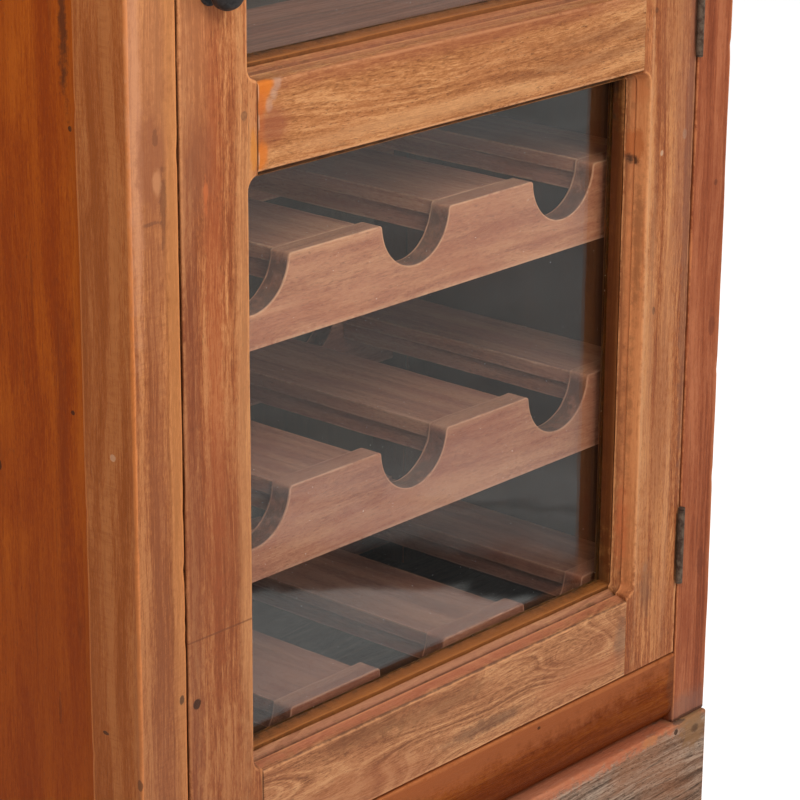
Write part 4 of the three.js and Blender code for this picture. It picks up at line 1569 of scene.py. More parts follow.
PLINTH_WOOD = WoodFinish(
    name="plinth_wood", slot="plinth_wood",
    dark=tone(84, 68, 58), middle=tone(146, 122, 104), light=tone(192, 166, 144),
    patch=tone(168, 112, 78), bare=tone(210, 144, 104), line=tone(44, 32, 26),
    pitch=4 * MM, sway=22 * MM, weights=(0.3, 0.22, 0.26, 0.22), patches=0.6, lines=0.85, pores=0.9,
    rough=0.7, gloss=0.08, relief=1.0 * MM,
    marks=marked(
        # Painted light: the plinth's top ledge under the rail, made a lit orange.
        ((0, 6, 113), (420, 26, 15), (206, 122, 84), 0.8, 2.2, -0.2, 0.3),
        ((250, 10, 111), (90, 16, 8), (180, 84, 50), 0.35, 2.4, 0, 0.6),
        ((120, 20, 111), (80, 10, 8), (150, 78, 48), 0.35, 2.4, 0, 0.6),
        ((353.3, 0, 95), (20, 14, 19), (150, 110, 76), 0.85, 2.4, -0.3, 0.3),
        ((346, 4, 108), (22, 14, 10), (166, 122, 84), 0.7, 2.4, -0.3, 0.4),
        ((356, 0, 96), (5, 14, 4), (92, 68, 52), 0.7, 2.6, 0.3, 0.5),
        ((325.3, -4, 101.6), (3, 4, 3), (56, 36, 26)),
        ((283.6, -4, 106), (12, 4, 5), (206, 136, 86), 0.6, 2.0, 0),
        ((330, -4, 112), (9, 6, 4), (84, 72, 64), 0.7, 2.2, 0.1),
    ),
)
RACK_WOOD = WoodFinish(
    name="rack_wood", slot="rack_wood",
    dark=tone(142, 87, 66), middle=tone(167, 110, 83), light=tone(184, 129, 98),
    patch=tone(152, 89, 69), bare=tone(196, 144, 114), line=tone(84, 50, 38),
    pitch=7 * MM, sway=24 * MM, weights=(0.18, 0.4, 0.12, 0.3), patches=0.5, lines=0.08, pores=0.45,
    dust=0.1, rough=0.66, gloss=0.1, relief=0.16 * MM,
)
# The second and the third rack take darker copies of the rack wood: painted shade, as the lower racks get
# less light.
RACK_WOODS = (
    RACK_WOOD, RACK_WOOD.shaded("second_rack_painted_shade", (0.8, 0.78, 0.84)),
    RACK_WOOD.shaded("third_rack_painted_shade", (0.66, 0.6, 0.64)),
)
DOOR_MARKS = marked(
    ((-254.2, 0, 806.1), (3.4, 3, 3.8), (96, 52, 36), 0.9, 0.8),
    ((-286, 0, 240), (48, 3, 260), (128, 68, 38), 0.4, 1.0, 0, 0.8),
    ((-315, 0, 560), (10, 3, 400), (122, 66, 44), 0.5, 1.8, 0, 0.5),
    ((-288, 0, 660), (9, 3, 230), (166, 84, 46), 0.5, 2.8, 0, 0.6),
    ((-257, 0, 560), (8, 3, 300), (202, 142, 92), 0.5, 1.8, 0, 0.6),
    ((-306, 0, 880), (16, 3, 120), (206, 140, 92), 0.3, 1.4, 0, 0.8),
    ((-313.3, 0, 344.8), (4, 3, 4.5), (60, 36, 24), 0.9, 1.0, 0.9),
    ((-284, 0, 398), (44, 3, 0.9), (110, 62, 40), 0.6, 0.9, 0.4),
    ((-292, 0, 480), (36, 3, 80), (140, 76, 46), 0.35, 1.6, 0, 0.5),
    ((-302, 0, 775), (14, 3, 34), (128, 72, 48), 0.45, 1.8, 0, 0.5),
    ((-296, 0, 752), (2.4, 3, 13), (200, 106, 58), 0.6, 2.4, 0, 0.5),
    ((-243.8, 0, 778), (3.4, 4, 15), (206, 128, 52), 0.7, 2.0, 0, 0.4),
    ((-239.7, 0, 800), (0.8, 5, 45), (80, 48, 30), 0.75, 1.6, 0.8),
    ((-239.7, 0, 226), (0.9, 5, 42), (84, 48, 30), 0.7, 1.3, 0.6),
    ((-247.2, 3, 846), (3, 5, 3), (50, 28, 18), 0.9, 1.2, 0.8),
    ((259.9, 0, 810.9), (2.6, 3, 3), (112, 66, 40)),
    ((270.6, 0, 536), (4.6, 3, 9), (150, 84, 52), 0.5, 1.4, 0, 0.5),
    ((270.4, 0, 535.6), (2.2, 3, 3.8), (88, 44, 30), 0.9, 0.8, 0.3),
    ((252, 8, 739), (5, 8, 12), (152, 66, 26), 0.5, 2.2, 0, 0.6),
    ((251.5, 7, 655), (2.2, 7, 44), (96, 62, 44), 0.5, 3.2, 0.3, 0.5),
    ((248, 15, 676), (5, 6, 9), (78, 60, 48), 0.6, 2.4, 0.3, 0.5),
    ((271.3, 0, 285.8), (3.4, 3, 3.4), (186, 126, 88), 0.7, 0.4),
    ((274.7, 0, 680.6), (2.2, 3, 2.6), (206, 170, 140), 0.7, 1.0, 0),
    ((308.3, 0, 691.8), (3, 3, 5), (186, 152, 126), 0.6, 1.4, 0.2),
    ((318, 0, 640), (9, 4, 260), (124, 84, 66), 0.45, 1.6, 0),
    # Painted shade: dark strips at the hinge mortises on the front of the hinge stile.
    ((319, 2, 294), (2.4, 5, 41), (34, 22, 16), 0.9, 0.8, 0.6, 0.3),
    ((319, 2, 798), (2.4, 5, 41), (34, 22, 16), 0.9, 0.8, 0.6, 0.3),
    ((251, 9, 546), (7, 11, 330), (216, 134, 82), 0.6, 0.8, 0, 0.3),
    ((257.4, 0, 560), (2.2, 3, 300), (214, 158, 112), 0.45, 2.6, 0, 0.6),
    # Painted shade: a dark strip deep in the moulding on the hinge side.
    ((247, 16, 546), (3, 5, 330), (96, 50, 26), 0.45, 2.4, 0.3, 0.5),
    ((250, 12, 690), (6, 9, 14), (172, 88, 40), 0.6, 2.4, -0.4, 0.3),
    ((249, 14, 677), (4, 6, 5), (54, 34, 24), 0.85, 2.0, 0.9, 0.3),
    ((265, 0, 500), (6, 3, 150), (214, 156, 108), 0.4, 2.4, 0, 0.8),
    ((300, 0, 330), (5, 3, 110), (212, 152, 106), 0.4, 2.4, 0, 0.8),
    ((283, 0, 430), (11, 3, 120), (140, 82, 54), 0.35, 2.6, 0, 0.8),
    ((291, 0, 560), (7, 3, 100), (206, 144, 98), 0.4, 2.6, 0, 0.8),
    ((273, 0, 262), (8, 3, 24), (118, 82, 62), 0.55, 2.6, 0, 0.8),
    ((252, 6, 600), (2.6, 6, 60), (96, 52, 30), 0.4, 3.0, 0.3, 0.5),
    ((250, 10, 440), (2.6, 7, 80), (96, 52, 30), 0.4, 3.0, 0.3, 0.5),
    ((250, 12, 330), (3, 7, 40), (186, 90, 48), 0.5, 2.4, 0, 0.5),
    ((306, 0, 700), (12, 3, 160), (146, 92, 70), 0.45, 1.6, 0, 0.6),
    ((284, 0, 800), (16, 3, 90), (150, 92, 62), 0.35, 1.6, 0, 0.6),
)
DOOR_WOOD = WoodFinish(
    name="door_wood", slot="door_wood",
    dark=tone(134, 70, 38), middle=tone(172, 102, 59), light=tone(206, 140, 88),
    patch=tone(152, 82, 46), bare=tone(224, 152, 98),
    sway=26 * MM, weights=(0.2, 0.34, 0.24, 0.22), spread=0.17, pores=0.5,
    marks=DOOR_MARKS,
)
MID_RAIL_WOOD = WoodFinish(
    name="middle_rail_wood", slot="door_wood",
    dark=tone(140, 84, 46), middle=tone(182, 119, 71), light=tone(212, 152, 100),
    patch=tone(164, 98, 58), bare=tone(222, 160, 112),
    pitch=7 * MM, sway=46 * MM, swirl=40 * MM, weights=(0.24, 0.26, 0.22, 0.28), lines=0.4, pores=0.6,
    marks=marked(
        ((0, 0, 827), (300, 3, 9), (156, 88, 58), 0.5, 1.4, 0, 0.6),
        ((0, 14, 838), (300, 14, 12), (160, 94, 68), 0.5, 1.8, 0, 0.5),
        ((0, 14, 752), (300, 14, 9), (140, 80, 48), 0.5, 1.2, 0, 0.4),
        ((-40, 0, 772), (150, 3, 6), (214, 158, 108), 0.45, 1.2, 0, 0.7),
        ((-222, 0, 792), (16, 4, 15), (152, 84, 54), 0.55, 1.6, 0, 0.6),
        ((-232, 0, 827), (11, 4, 9), (214, 116, 32), 0.85, 1.2, -0.1, 0.4),
        ((-235.5, 0, 816), (6.5, 4, 11), (206, 108, 36), 0.75, 1.6, -0.1, 0.5),
        ((-236.5, 0, 797), (4, 4, 20), (180, 92, 46), 0.5, 2.2, 0, 0.6),
        ((-235, 0, 772), (6, 4, 10), (210, 112, 34), 0.75, 2.0, -0.1, 0.5),
        ((-213, 0, 833), (5, 4, 4), (196, 160, 138), 0.55, 1.6, 0, 0.5),
        ((-218, 0, 826), (3.6, 4, 5), (190, 150, 126), 0.55, 1.6, 0, 0.5),
        ((-222, 0, 818), (3.4, 4, 5), (190, 150, 126), 0.55, 1.6, 0, 0.5),
        ((-227, 0, 810), (3.4, 4, 5), (192, 148, 122), 0.5, 1.8, 0, 0.5),
        ((-228, 0, 834), (14, 4, 1.8), (206, 172, 142), 0.7, 2.2, -0.2, 0.3),
        ((-238.4, 0, 823), (0.8, 5, 8), (206, 172, 144), 0.45, 2.6, 0, 0.5),
        ((-238.2, 0, 798), (0.8, 5, 6), (206, 172, 144), 0.45, 2.6, 0, 0.5),
        ((-238.4, 0, 770), (0.8, 5, 4), (206, 172, 144), 0.4, 2.6, 0, 0.5),
        ((-221, 0, 794), (12, 4, 9), (148, 82, 56), 0.4, 2.4, 0, 0.8),
        ((-239.5, 0, 800), (0.9, 5, 45), (80, 48, 30), 0.75, 1.6, 0.8),
        ((0, 0, 835), (300, 2, 2), (214, 172, 138), 0.5, 3.0, -0.1, 0.5),
        ((150, 0, 782), (90, 3, 5), (130, 78, 48), 0.4, 1.8, 0, 0.5),
        ((200, 0, 800), (70, 3, 6), (136, 84, 54), 0.35, 1.8, 0, 0.5),
    ),
)
BOTTOM_RAIL_WOOD = WoodFinish(
    name="bottom_rail_wood", slot="door_wood",
    dark=tone(130, 80, 50), middle=tone(182, 122, 80), light=tone(212, 156, 108),
    patch=tone(160, 94, 60), bare=tone(220, 156, 108),
    pitch=7 * MM, sway=60 * MM, swirl=130 * MM, weights=(0.32, 0.22, 0.22, 0.24), lines=0.15, pores=0.5,
    marks=marked(
        ((0, 8, 264), (300, 7, 4.5), (184, 104, 74), 0.6, 2.0, 0, 0.5),
        ((0, 18, 268), (300, 5, 7), (176, 118, 90), 0.6, 1.6, 0, 0.5),
        ((0, 14, 265), (300, 1.5, 3), (74, 44, 30), 0.7, 0.6, 0.2, 0.4),
        ((0, 0.5, 261), (300, 1.6, 1.5), (84, 58, 46), 0.75, 1.8, 0.2, 0.4),
        ((-20, 0, 244), (60, 4, 9), (122, 78, 50), 0.5, 2.8, 0, 0.6),
        ((40, 0, 204), (52, 4, 6), (96, 66, 50), 0.6, 2.8, 0.1, 0.6),
        ((-130, 0, 200), (90, 4, 22), (160, 94, 60), 0.5, 1.8, 0, 0.8),
        ((-239.5, 0, 226), (1.1, 5, 42), (84, 48, 30), 0.7, 1.3, 0.6),
        ((236.8, 0, 222), (8, 4, 20), (120, 92, 74), 0.5, 2.2, 0.1, 0.5),
        ((-110, 0, 250), (50, 4, 9), (112, 70, 42), 0.5, 2.4, 0.1, 0.6),
        ((190, 0, 206), (60, 4, 8), (176, 104, 66), 0.5, 2.0, 0, 0.6),
    ),
)
BEAD_WOOD = WoodFinish(
    name="bead_wood", slot="door_wood",
    dark=tone(88, 46, 14), middle=tone(122, 70, 26), light=tone(150, 94, 46),
    patch=tone(102, 62, 26), bare=tone(186, 122, 70), line=tone(52, 28, 12),
    pitch=3 * MM, wear=0.6,
    marks=marked(
        # Painted light: the upward faces of the two lower beads, made lighter.
        ((0, 26, 268), (262, 9, 10), (160, 92, 42), 0.5, 2.0, 0, 0.5),
        ((0, 26, 836), (262, 9, 10), (158, 94, 50), 0.5, 2.0, 0, 0.5),
        ((246, 27, 280), (5, 12, 12), (90, 50, 22), 0.5, 2.0, 0.3),
        # Painted shade: the bead on the hinge side, made dark.
        ((246, 27, 520), (6, 12, 240), (80, 32, 2), 0.72, 1.6, 0),
        ((249, 24, 262), (8, 9, 6), (60, 44, 34), 0.7, 2.2, 0.6),
    ),
)
DARK_IRON = MetalFinish(
    name="dark_iron", slot="dark_iron", base=tone(66, 64, 64), blotch=tone(42, 40, 40),
    metallic=0.7, rough=0.42,
)
AGED_STEEL = MetalFinish(
    name="aged_steel", slot="aged_steel", base=tone(112, 94, 78), blotch=tone(72, 52, 40),
    metallic=0.5, rough=0.55, size=9 * MM,
)
CATCH_PAINT = MetalFinish(
    name="catch_paint", slot="catch_paint", base=tone(60, 58, 56), blotch=tone(48, 46, 44),
    metallic=0.0, rough=0.55,
)
OLD_GLASS = GlassFinish(name="old_glass", slot="pane_glass")


# How near two points of a solid are to be one, and past which angle its edges are eased
WELD = 0.01 * MM
EASED_FROM = math.radians(35)


def dress(node: str, finish: Finish, bevel: float = 0.0) -> None:
    """Gives a solid that stays its finish, and eases its edges.

    Args:
        node: The solid.
        finish: Its finish.
        bevel: How wide its edges are eased, in metres.
    """
    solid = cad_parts[node]
    solid.data.materials.clear()
    solid.data.materials.append(finish.material())
    if bevel:
        weld = solid.modifiers.new("weld", "WELD")
        weld.merge_threshold = WELD
        eased = solid.modifiers.new("eased_edges", "BEVEL")
        eased.width = bevel
        eased.segments = 2
        eased.limit_method = "ANGLE"
        eased.angle_limit = EASED_FROM
    log.info("%s: dressed with %s", node, finish.name)


@dataclass
class RoundedRail(Board):
    """The rail under the door, whose lower front edge is rounded.

    Attributes:
        radius: The radius of the rounding, in metres.
        arc_points: How many points its arc has.
    """

    radius: float = 22 * MM
    arc_points: int = 8

    def corners(self) -> np.ndarray:
        """The section: a quarter circle at the lower front, and three square corners."""
        low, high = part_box(self.node)
        turn = np.linspace(0, math.pi / 2, self.arc_points)
        arc = np.stack([
            low.y + self.radius - self.radius * np.cos(turn),
            low.z + self.radius - self.radius * np.sin(turn),
        ], axis=1)
        rest = np.array([[high.y, low.z], [high.y, high.z], [low.y, high.z]])
        return np.concatenate([arc, rest])


@dataclass
class PlinthFront(Board):
    """The front board of the plinth, whose two lower corners are worn round.

    Attributes:
        round_off: The radius of the worn corners, in metres.
        lift: How much of that radius the corner rises, as a share.
        close_rows: How many rows lie close together at each end.
    """

    round_off: float = 9 * MM
    lift: float = 0.93
    close_rows: int = 12

    def rows(self, low: float, high: float) -> np.ndarray:
        """The rows' places, close together at both ends."""
        share = np.linspace(0, 1, self.close_rows)
        near = low + self.ease + self.round_off * share ** 2
        far = high - self.ease - self.round_off * share[::-1] ** 2
        count = int((high - low) / ROW_STEP)
        middle = np.linspace(near[-1], far[0], count)[1:-1]
        return np.concatenate([near, middle, far])

    def shift(self, places: np.ndarray, corners: np.ndarray) -> np.ndarray:
        """Lifts the lower corners near the ends along a quarter circle."""
        low, high = self.ends()
        r = self.round_off
        away = np.clip(r - np.minimum(places - low, high - places), 0, r)
        rise = r - np.sqrt(np.maximum(r ** 2 - away ** 2, 0))
        moved = np.zeros((len(places), len(corners), 2))
        foot = corners[:, 1] < corners[:, 1].mean()
        moved[:, foot, 1] = self.lift * rise[:, None]
        return moved


@dataclass
class Carcase:
    """The posts, panels, rails and boards that carry the door and the racks.

    Attributes:
        fit: The gap of a joint, in metres.
        bevel: How wide the edges of the shelves are eased, in metres.
    """

    fit: float = 0.3 * MM
    bevel: float = 0.8 * MM

    def posts(self) -> list[Board]:
        """The four posts; the front left one has its outer front edge worn wide."""
        up = Grain.UPRIGHT
        return [
            Board("post_front_left", "carcase", LEFT_POST, 11, up,
                  eases=(1.7 * MM, 1.0 * MM, 1.3 * MM, 1.4 * MM), edge=Edge(knock=2.4 * MM),
                  dark_sides=(1,)),
            Board("post_front_right", "carcase", RIGHT_POST, 12, up,
                  eases=(1.0 * MM, 1.6 * MM, 1.4 * MM, 1.2 * MM), dark_sides=(3,)),
            Board("post_back_left", "carcase", LEFT_POST, 13, up, ease=1.6 * MM),
            Board("post_back_right", "carcase", RIGHT_POST, 14, up, ease=1.6 * MM),
        ]

    def panels(self) -> list[Board]:
        """The side panels between the posts, and the back."""
        boards = []
        for name, seed in (("left", 21), ("right", 22)):
            node = f"side_panel_{name}"
            low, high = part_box(node)
            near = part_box(f"post_front_{name}")[1].y + self.fit
            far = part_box(f"post_back_{name}")[0].y - self.fit
            outline = ((low.x, near), (high.x, near), (high.x, far), (low.x, far))
            boards.append(Board(node, "carcase", SIDE_PANEL, seed, Grain.UPRIGHT, outline=outline))
        boards.append(Board("back_panel", "carcase", BACK_WOOD, 23, Grain.UPRIGHT))
        return boards

    def rails(self) -> list[Board]:
        """The two rails between the front posts."""
        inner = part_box("post_front_right")[0].x - self.fit
        span = (-inner, inner)
        return [
            RoundedRail("rail_front_bottom", "carcase", FRONT_RAIL, 31, Grain.ACROSS, span=span,
                        eases=(0.5 * MM,) * 8 + (1.2 * MM, 1.2 * MM, 2.2 * MM)),
            Board("rail_front_top", "carcase", FRONT_RAIL, 32, Grain.ACROSS, span=span),
        ]

    def plinth(self) -> list[Board]:
        """The boards that the cabinet stands on."""
        return [
            PlinthFront("plinth_front", "carcase", PLINTH_WOOD, 41, Grain.ACROSS, ease=2.2 * MM,
                        edge=Edge(knock=3.2 * MM, knocks=12)),
            Board("plinth_left", "carcase", PLINTH_WOOD, 42, Grain.DEEP, ease=2 * MM),
            Board("plinth_right", "carcase", PLINTH_WOOD, 43, Grain.DEEP, ease=2 * MM),
            Board("plinth_back", "carcase", PLINTH_WOOD, 44, Grain.ACROSS, ease=2 * MM),
        ]

    def boards(self) -> list[Board]:
        """The top board and the front board of the shelf behind the middle rail."""
        return [
            Board("top_board", "carcase", DOOR_WOOD, 51, Grain.ACROSS, ease=2.6 * MM,
                  edge=Edge(knock=2.4 * MM)),
            Board("divider_board_front", "carcase", INSIDE_WOOD, 52, Grain.ACROSS),
        ]

    def build(self) -> None:
        """Makes every board, and dresses the shelves whose solids stay."""
        for board in self.posts() + self.panels() + self.rails() + self.plinth() + self.boards():
            board.build()
        for node in ("bottom_board", "divider_board_back", "upper_shelf"):
            dress(node, INSIDE_LOOSE, self.bevel)
        dress("catch_magnet", CATCH_PAINT, self.bevel)


@dataclass
class BottleRacks:
    """The three racks: notched boards at the front and the back, and slats between them.

    Attributes:
        count: How many racks there are.
        slats: How many slats a rack has.
        slat: How thick a slat is, in metres.
        bearer_inset: How far the bearer under a slat stands back from its edges, in metres.
        housed: How far the rack boards reach behind the posts at most, in metres.
    """

    count: int = 3
    slats: int = 4
    slat: float = 13 * MM
    bearer_inset: float = 6 * MM
    housed: float = 20 * MM

    def build(self) -> None:
        """Makes the boards and the slats of every rack."""
        for rack, finish in zip(range(1, self.count + 1), RACK_WOODS):
            seed = 60 + 10 * rack
            for number, end in enumerate(("front", "back")):
                node = f"rack_{rack}_{end}_board"
                reach = min(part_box(node)[1].x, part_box("post_front_right")[0].x + self.housed)
                NotchedBoard(node, "carcase", finish, seed + number, reach).build()
            for number in range(1, self.slats + 1):
                self.slat_board(f"rack_{rack}_slat_{number}", finish, seed + 3 + number).build()

    def slat_board(self, node: str, finish: WoodFinish, seed: int) -> Board:
        """One slat with the bearer under its middle.

        Args:
            node: The slat's solid.
            finish: Its finish.
            seed: Picks its wear and its figure.

        Returns:
            The slat's board.
        """
        low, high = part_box(node)
        under = high.z - self.slat
        left = low.x + self.bearer_inset
        right = high.x - self.bearer_inset
        outline = (
            (low.z, left), (under, left), (under, low.x), (high.z, low.x),
            (high.z, high.x), (under, high.x), (under, right), (low.z, right),
        )
        return Board(node, "carcase", finish, seed, Grain.DEEP, outline=outline,
                     ease=0.7 * MM, edge=Edge(knock=1.2 * MM, knocks=14))


@dataclass
class Door:
    """The framed glass door with its beads, panes, knob and plate.

    Attributes:
        moulding: The moulded edge of its openings.
        ease: How far the plain edges of its rails are eased, in metres.
        bead: The insets of the two edges of a bead's face, the nearer to the glass last, in metres.
    """

    moulding: Moulding = field(default_factory=Moulding)
    ease: float = 1.3 * MM
    bead: Pair = (9 * MM, 12 * MM)

    def rail_outline(self, node: str, below: bool, above: bool) -> np.ndarray:
        """The section of a rail, with the moulding on each side that borders an opening.

        Args:
            node: The rail's solid.
            below: Whether an opening lies under it.
            above: Whether an opening lies over it.

        Returns:
            The corners, counter-clockwise in depth and height, as depth, height, ease and darkening by dirt
            and painted shade.
        """
        low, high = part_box(node)
        edge = np.column_stack([
            self.moulding.corners(), self.moulding.shares(), np.array(self.moulding.corner_dirt_and_shade)])
        lap = self.moulding.lap
        plain = np.array([[0, 0, self.ease, 0], [0, high.y - FRONT, self.ease, 0]])
        parts = []
        for way, level, open_side in ((-1, low.z, below), (1, high.z, above)):
            rows = edge if open_side else plain
            arris = level - way * lap if open_side else level
            part = np.column_stack([FRONT + rows[:, 1], arris + way * rows[:, 0], rows[:, 2:]])
            parts.append(part if way < 0 else part[::-1])
        return np.concatenate(parts)

    def rails(self, openings: tuple[Opening, ...]) -> list[Board]:
        """The three rails of the door.

        Args:
            openings: The openings, from the lowest up.

        Returns:
            The rails.
        """
        gap = self.moulding.lap + self.moulding.fit
        span = (openings[0].left + gap, openings[0].right - gap)
        made = []
        for node, finish, seed, below, above in (
            ("door_rail_bottom", BOTTOM_RAIL_WOOD, 105, False, True),
            ("door_rail_middle", MID_RAIL_WOOD, 106, True, True),
            ("door_rail_top", DOOR_WOOD, 107, True, False),
        ):
            rows = self.rail_outline(node, below, above)
            made.append(Board(
                node, "door", finish, seed, Grain.ACROSS, ease=0.2 * MM,
                edge=Edge(knock=0.9 * MM, knocks=10),
                outline=tuple(map(tuple, rows[:, :2])), eases=tuple(rows[:, 2]),
                corner_dirt_and_shade=tuple(rows[:, 3]), span=span, end_wear=0))
        return made

    def build(self) -> None:
        """Makes the frame, the beads and the knob, and dresses the glass and the plates."""
        openings = (Opening.of_glass("pane_lower"), Opening.of_glass("pane_upper"))
        DoorStile("door_stile_lock", "door", DOOR_WOOD, 101, Side.LEFT, openings).build()
        DoorStile("door_stile_hinge", "door", DOOR_WOOD, 102, Side.RIGHT, openings).build()
        for rail in self.rails(openings):
            rail.build()
        for name, opening, seed in (("lower", openings[0], 200), ("upper", openings[1], 300)):
            BeadRing(f"bead_front_{name}", "door", BEAD_WOOD, seed, opening, self.bead).build()
            BeadRing(f"bead_back_{name}", "door", BEAD_WOOD, seed + 5, opening, self.bead[::-1]).build()
            dress(f"pane_{name}", OLD_GLASS)
        Knob("knob", "door", DARK_IRON, 5, "knob_rose").build()
        dress("knob_rose", DARK_IRON, 0.5 * MM)
        dress("strike_plate", AGED_STEEL, 0.4 * MM)


@dataclass
class Hinges:
    """The three hinges, each with a leaf on the door and a leaf on the carcase.

    Attributes:
        places: Their names, from the lowest up.
        bevel: How wide the edges of their leaves and pins are eased, in metres.
    """

    places: tuple[str, ...] = ("lower", "middle", "upper")
    bevel: float = 0.25 * MM

    def build(self) -> None:
        """Dresses the leaves and the pins."""
        for where in self.places:
            for part in ("door_leaf", "frame_leaf", "pin"):
                dress(f"hinge_{where}_{part}", AGED_STEEL, self.bevel)


@dataclass(frozen=True)
class Lamp:
    """A soft rectangular lamp.

    Attributes:
        name: Its name.
        stand: Where it stands, in metres.
        aim: The place that it faces, in metres.
        size: Its width and its height, in metres.
        power: Its power, in watts.
    """

    name: str
    stand: Triple
    aim: Triple
    size: float
    power: float

    def build(self) -> bpy.types.Object:
        """Adds the lamp, which neither the camera nor a reflection sees."""
        data = bpy.data.lights.new(self.name, "AREA")
        data.shape = "RECTANGLE"
        data.size = data.size_y = self.size
        data.energy = self.power
        made = bpy.data.objects.new(self.name, data)
        bpy.context.scene.collection.objects.link(made)
        made.location = self.stand
        turn = (Vector(self.aim) - Vector(self.stand)).to_track_quat("-Z", "Y")
        made.rotation_euler = turn.to_euler()
        made.visible_camera = False
        made.visible_glossy = False
        return made


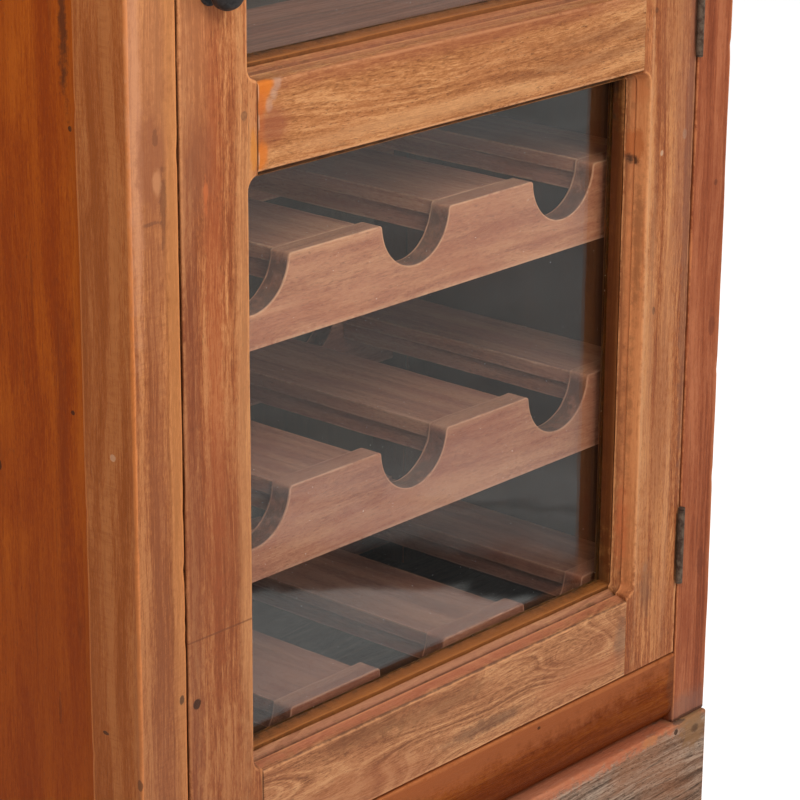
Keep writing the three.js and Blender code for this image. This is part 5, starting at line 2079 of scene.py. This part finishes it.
@dataclass
class Studio:
    """The pale floor with the painted reflection that it shows the glass, the soft lights, the plain world
    and the camera.

    Attributes:
        lens: The camera's focal length, in millimetres.
        sensor: The width of its sensor, in millimetres.
        sight: How far the camera sees, in metres.
        fill: How bright the world is to what it lights.
        lift: How much the floor is lifted to white for the camera.
        reach: Half the width of the floor, in metres.
        lines: How many lines the floor's grid has each way.
        lamps: The lamps.
        mirror_middle: The place that the tones of the painted reflection go round, in metres.
        mirror_reach: How far the tones of the painted reflection reach from it, in metres.
        mirror_sway: How far their edges sway, in metres.
        mirror: The tones of the painted reflection that the glass mirrors, by their distance in metres.
        cloud: The colour of the clouds in the painted reflection.
    """

    lens: float = 136.3
    sensor: float = 36.0
    sight: float = 60.0
    fill: float = 0.38
    lift: float = 0.6
    reach: float = 9.0
    lines: int = 19
    lamps: tuple[Lamp, ...] = (
        Lamp("key", (-0.75, -1.6, 1.85), (-0.15, -0.15, 0.75), 0.8, 23),
        Lamp("right_fill", (1.8, -2.1, 1.0), (0.3, -0.15, 0.4), 1.0, 15),
        Lamp("back_fill", (0.7, 2.6, 2.2), (0, 0.2, 0.7), 1.4, 26),
        Lamp("left_fill", (-1.7, -0.4, 1.9), (-0.37, 0, 0.7), 0.9, 10),
    )
    # Painted reflection: the floor glows with these tones for glossy rays only, so the glass mirrors grey
    # bands that the floor does not have.
    mirror_middle: Triple = (0.1, -0.3, 0.0)
    mirror_reach: float = 3.2
    mirror_sway: float = 0.03
    mirror: tuple[Pair, ...] = (
        (0.0, 0.92), (0.635, 0.88), (0.655, 0.10), (0.76, 0.05), (0.83, 0.46), (0.89, 0.56),
        (0.915, 0.66), (0.935, 0.42), (0.965, 0.72), (1.0, 0.62), (1.07, 0.6), (1.2, 0.46),
        (1.77, 0.46), (3.0, 0.6),
    )
    cloud: Colour = (0.23, 0.21, 0.2, 1.0)

    def camera(self) -> None:
        """Sets the camera at the photograph's viewing angle."""
        data = bpy.data.cameras.new("camera")
        data.lens = self.lens
        data.sensor_width = self.sensor
        data.clip_end = self.sight
        made = bpy.data.objects.new("camera", data)
        bpy.context.scene.collection.objects.link(made)
        made.matrix_world = Matrix((
            (0.66136057, 0.23663114, -0.71176394, -1.841),
            (-0.75003601, 0.21741894, -0.62463989, -1.73475),
            (0.00694171, 0.94696077, 0.32127419, 1.334),
            (0, 0, 0, 1),
        ))
        bpy.context.scene.camera = made

    def world(self) -> None:
        """Makes a world that is white to the camera and in reflections, and a plain fill elsewhere."""
        made = bpy.data.worlds.new("studio")
        graph = Graph.emptied(made)
        light = graph.node("ShaderNodeLightPath").outputs
        seen = graph.maths("MAXIMUM", light["Is Camera Ray"], light["Is Glossy Ray"])
        seen = graph.maths("MAXIMUM", seen, light["Is Transmission Ray"])
        strength = graph.layer(((seen, 1 - self.fill),), self.fill)
        back = graph.node("ShaderNodeBackground", {"Color": WHITE, "Strength": strength})
        graph.node("ShaderNodeOutputWorld", {"Surface": back.outputs["Background"]})
        bpy.context.scene.world = made

    def painted_reflection(self, graph: Graph, where: Socket) -> Socket:
        """A painted reflection, which the glass mirrors of the floor: pale near the cabinet, and grey
        further out.

        The tone is a ramp of the distance from a place in front of the door: white up to the
        sheet's edge, a dark strip, grey bands, and a clouded grey beyond.

        Args:
            graph: The floor's graph.
            where: The place on the floor.

        Returns:
            The colour.
        """
        away = graph.vector("DISTANCE", where, self.mirror_middle)
        away = graph.maths("SUBTRACT", away, self.mirror_sway / 2)
        away = graph.layer(((graph.noise(where, 0.5, 2, 0.5), self.mirror_sway),), away)
        tones = graph.ramp(graph.maths("DIVIDE", away, self.mirror_reach), tuple(
            (far / self.mirror_reach, (level, 0.97 * level, 0.94 * level, 1.0))
            for far, level in self.mirror))
        clouds = graph.step(graph.noise(where, 0.22, 4, 0.6), 0.3, 0.75, 0.0, 0.4)
        return graph.blend(clouds, tones, self.cloud)

    def floor(self) -> None:
        """Makes a wide pale floor, a little lifted to white for the camera, which glows with a painted
        reflection for glossy rays that have bounced.
        """
        share = np.linspace(-self.reach, self.reach, self.lines)
        x, y = np.meshgrid(share, share, indexing="ij")
        points = np.stack([x, y, np.zeros_like(x)], axis=2).reshape(-1, 3)
        index = np.arange(self.lines ** 2).reshape(self.lines, self.lines)
        quads = np.stack([index[:-1, :-1], index[1:, :-1], index[1:, 1:], index[:-1, 1:]], axis=-1)
        mesh = bpy.data.meshes.new("floor")
        mesh.from_pydata(points.tolist(), [], quads.reshape(-1, 4).tolist())
        made = bpy.data.objects.new("floor", mesh)
        bpy.context.scene.collection.objects.link(made)
        paint = bpy.data.materials.new("floor_paint")
        graph = Graph.emptied(paint)
        where = graph.node("ShaderNodeTexCoord").outputs["Object"]
        light = graph.node("ShaderNodeLightPath").outputs
        seen = graph.maths("MAXIMUM", light["Is Camera Ray"], light["Is Transmission Ray"])
        clouded = graph.blend(graph.noise(where, 0.7, 3, 0.5), tone(232, 231, 229), tone(240, 239, 238))
        plain = graph.shader({
            "Base Color": clouded, "Roughness": 0.7, "Emission Color": WHITE,
            "Emission Strength": graph.maths("MULTIPLY", seen, self.lift),
        })
        # Glossy rays that have bounced see the glowing painted reflection instead of the plain floor.
        mirrored = graph.node("ShaderNodeEmission", {"Color": self.painted_reflection(graph, where)})
        bounced = graph.maths("MULTIPLY", light["Is Glossy Ray"], light["Glossy Depth"], clamp=True)
        mix = graph.node("ShaderNodeMixShader", {0: bounced, 1: plain, 2: mirrored.outputs["Emission"]})
        graph.node("ShaderNodeOutputMaterial", {"Surface": mix.outputs["Shader"]})
        mesh.materials.append(paint)

    def build(self) -> None:
        """Makes the whole studio."""
        self.camera()
        self.floor()
        self.world()
        for lamp in self.lamps:
            lamp.build()
        bpy.context.scene.view_settings.view_transform = "Standard"


def main() -> None:
    logging.basicConfig(level=logging.INFO, format="%(name)s: %(message)s")
    Studio().build()
    Carcase().build()
    BottleRacks().build()
    Door().build()
    Hinges().build()
    bpy.context.view_layer.update()


if __name__ == "__main__":
    main()
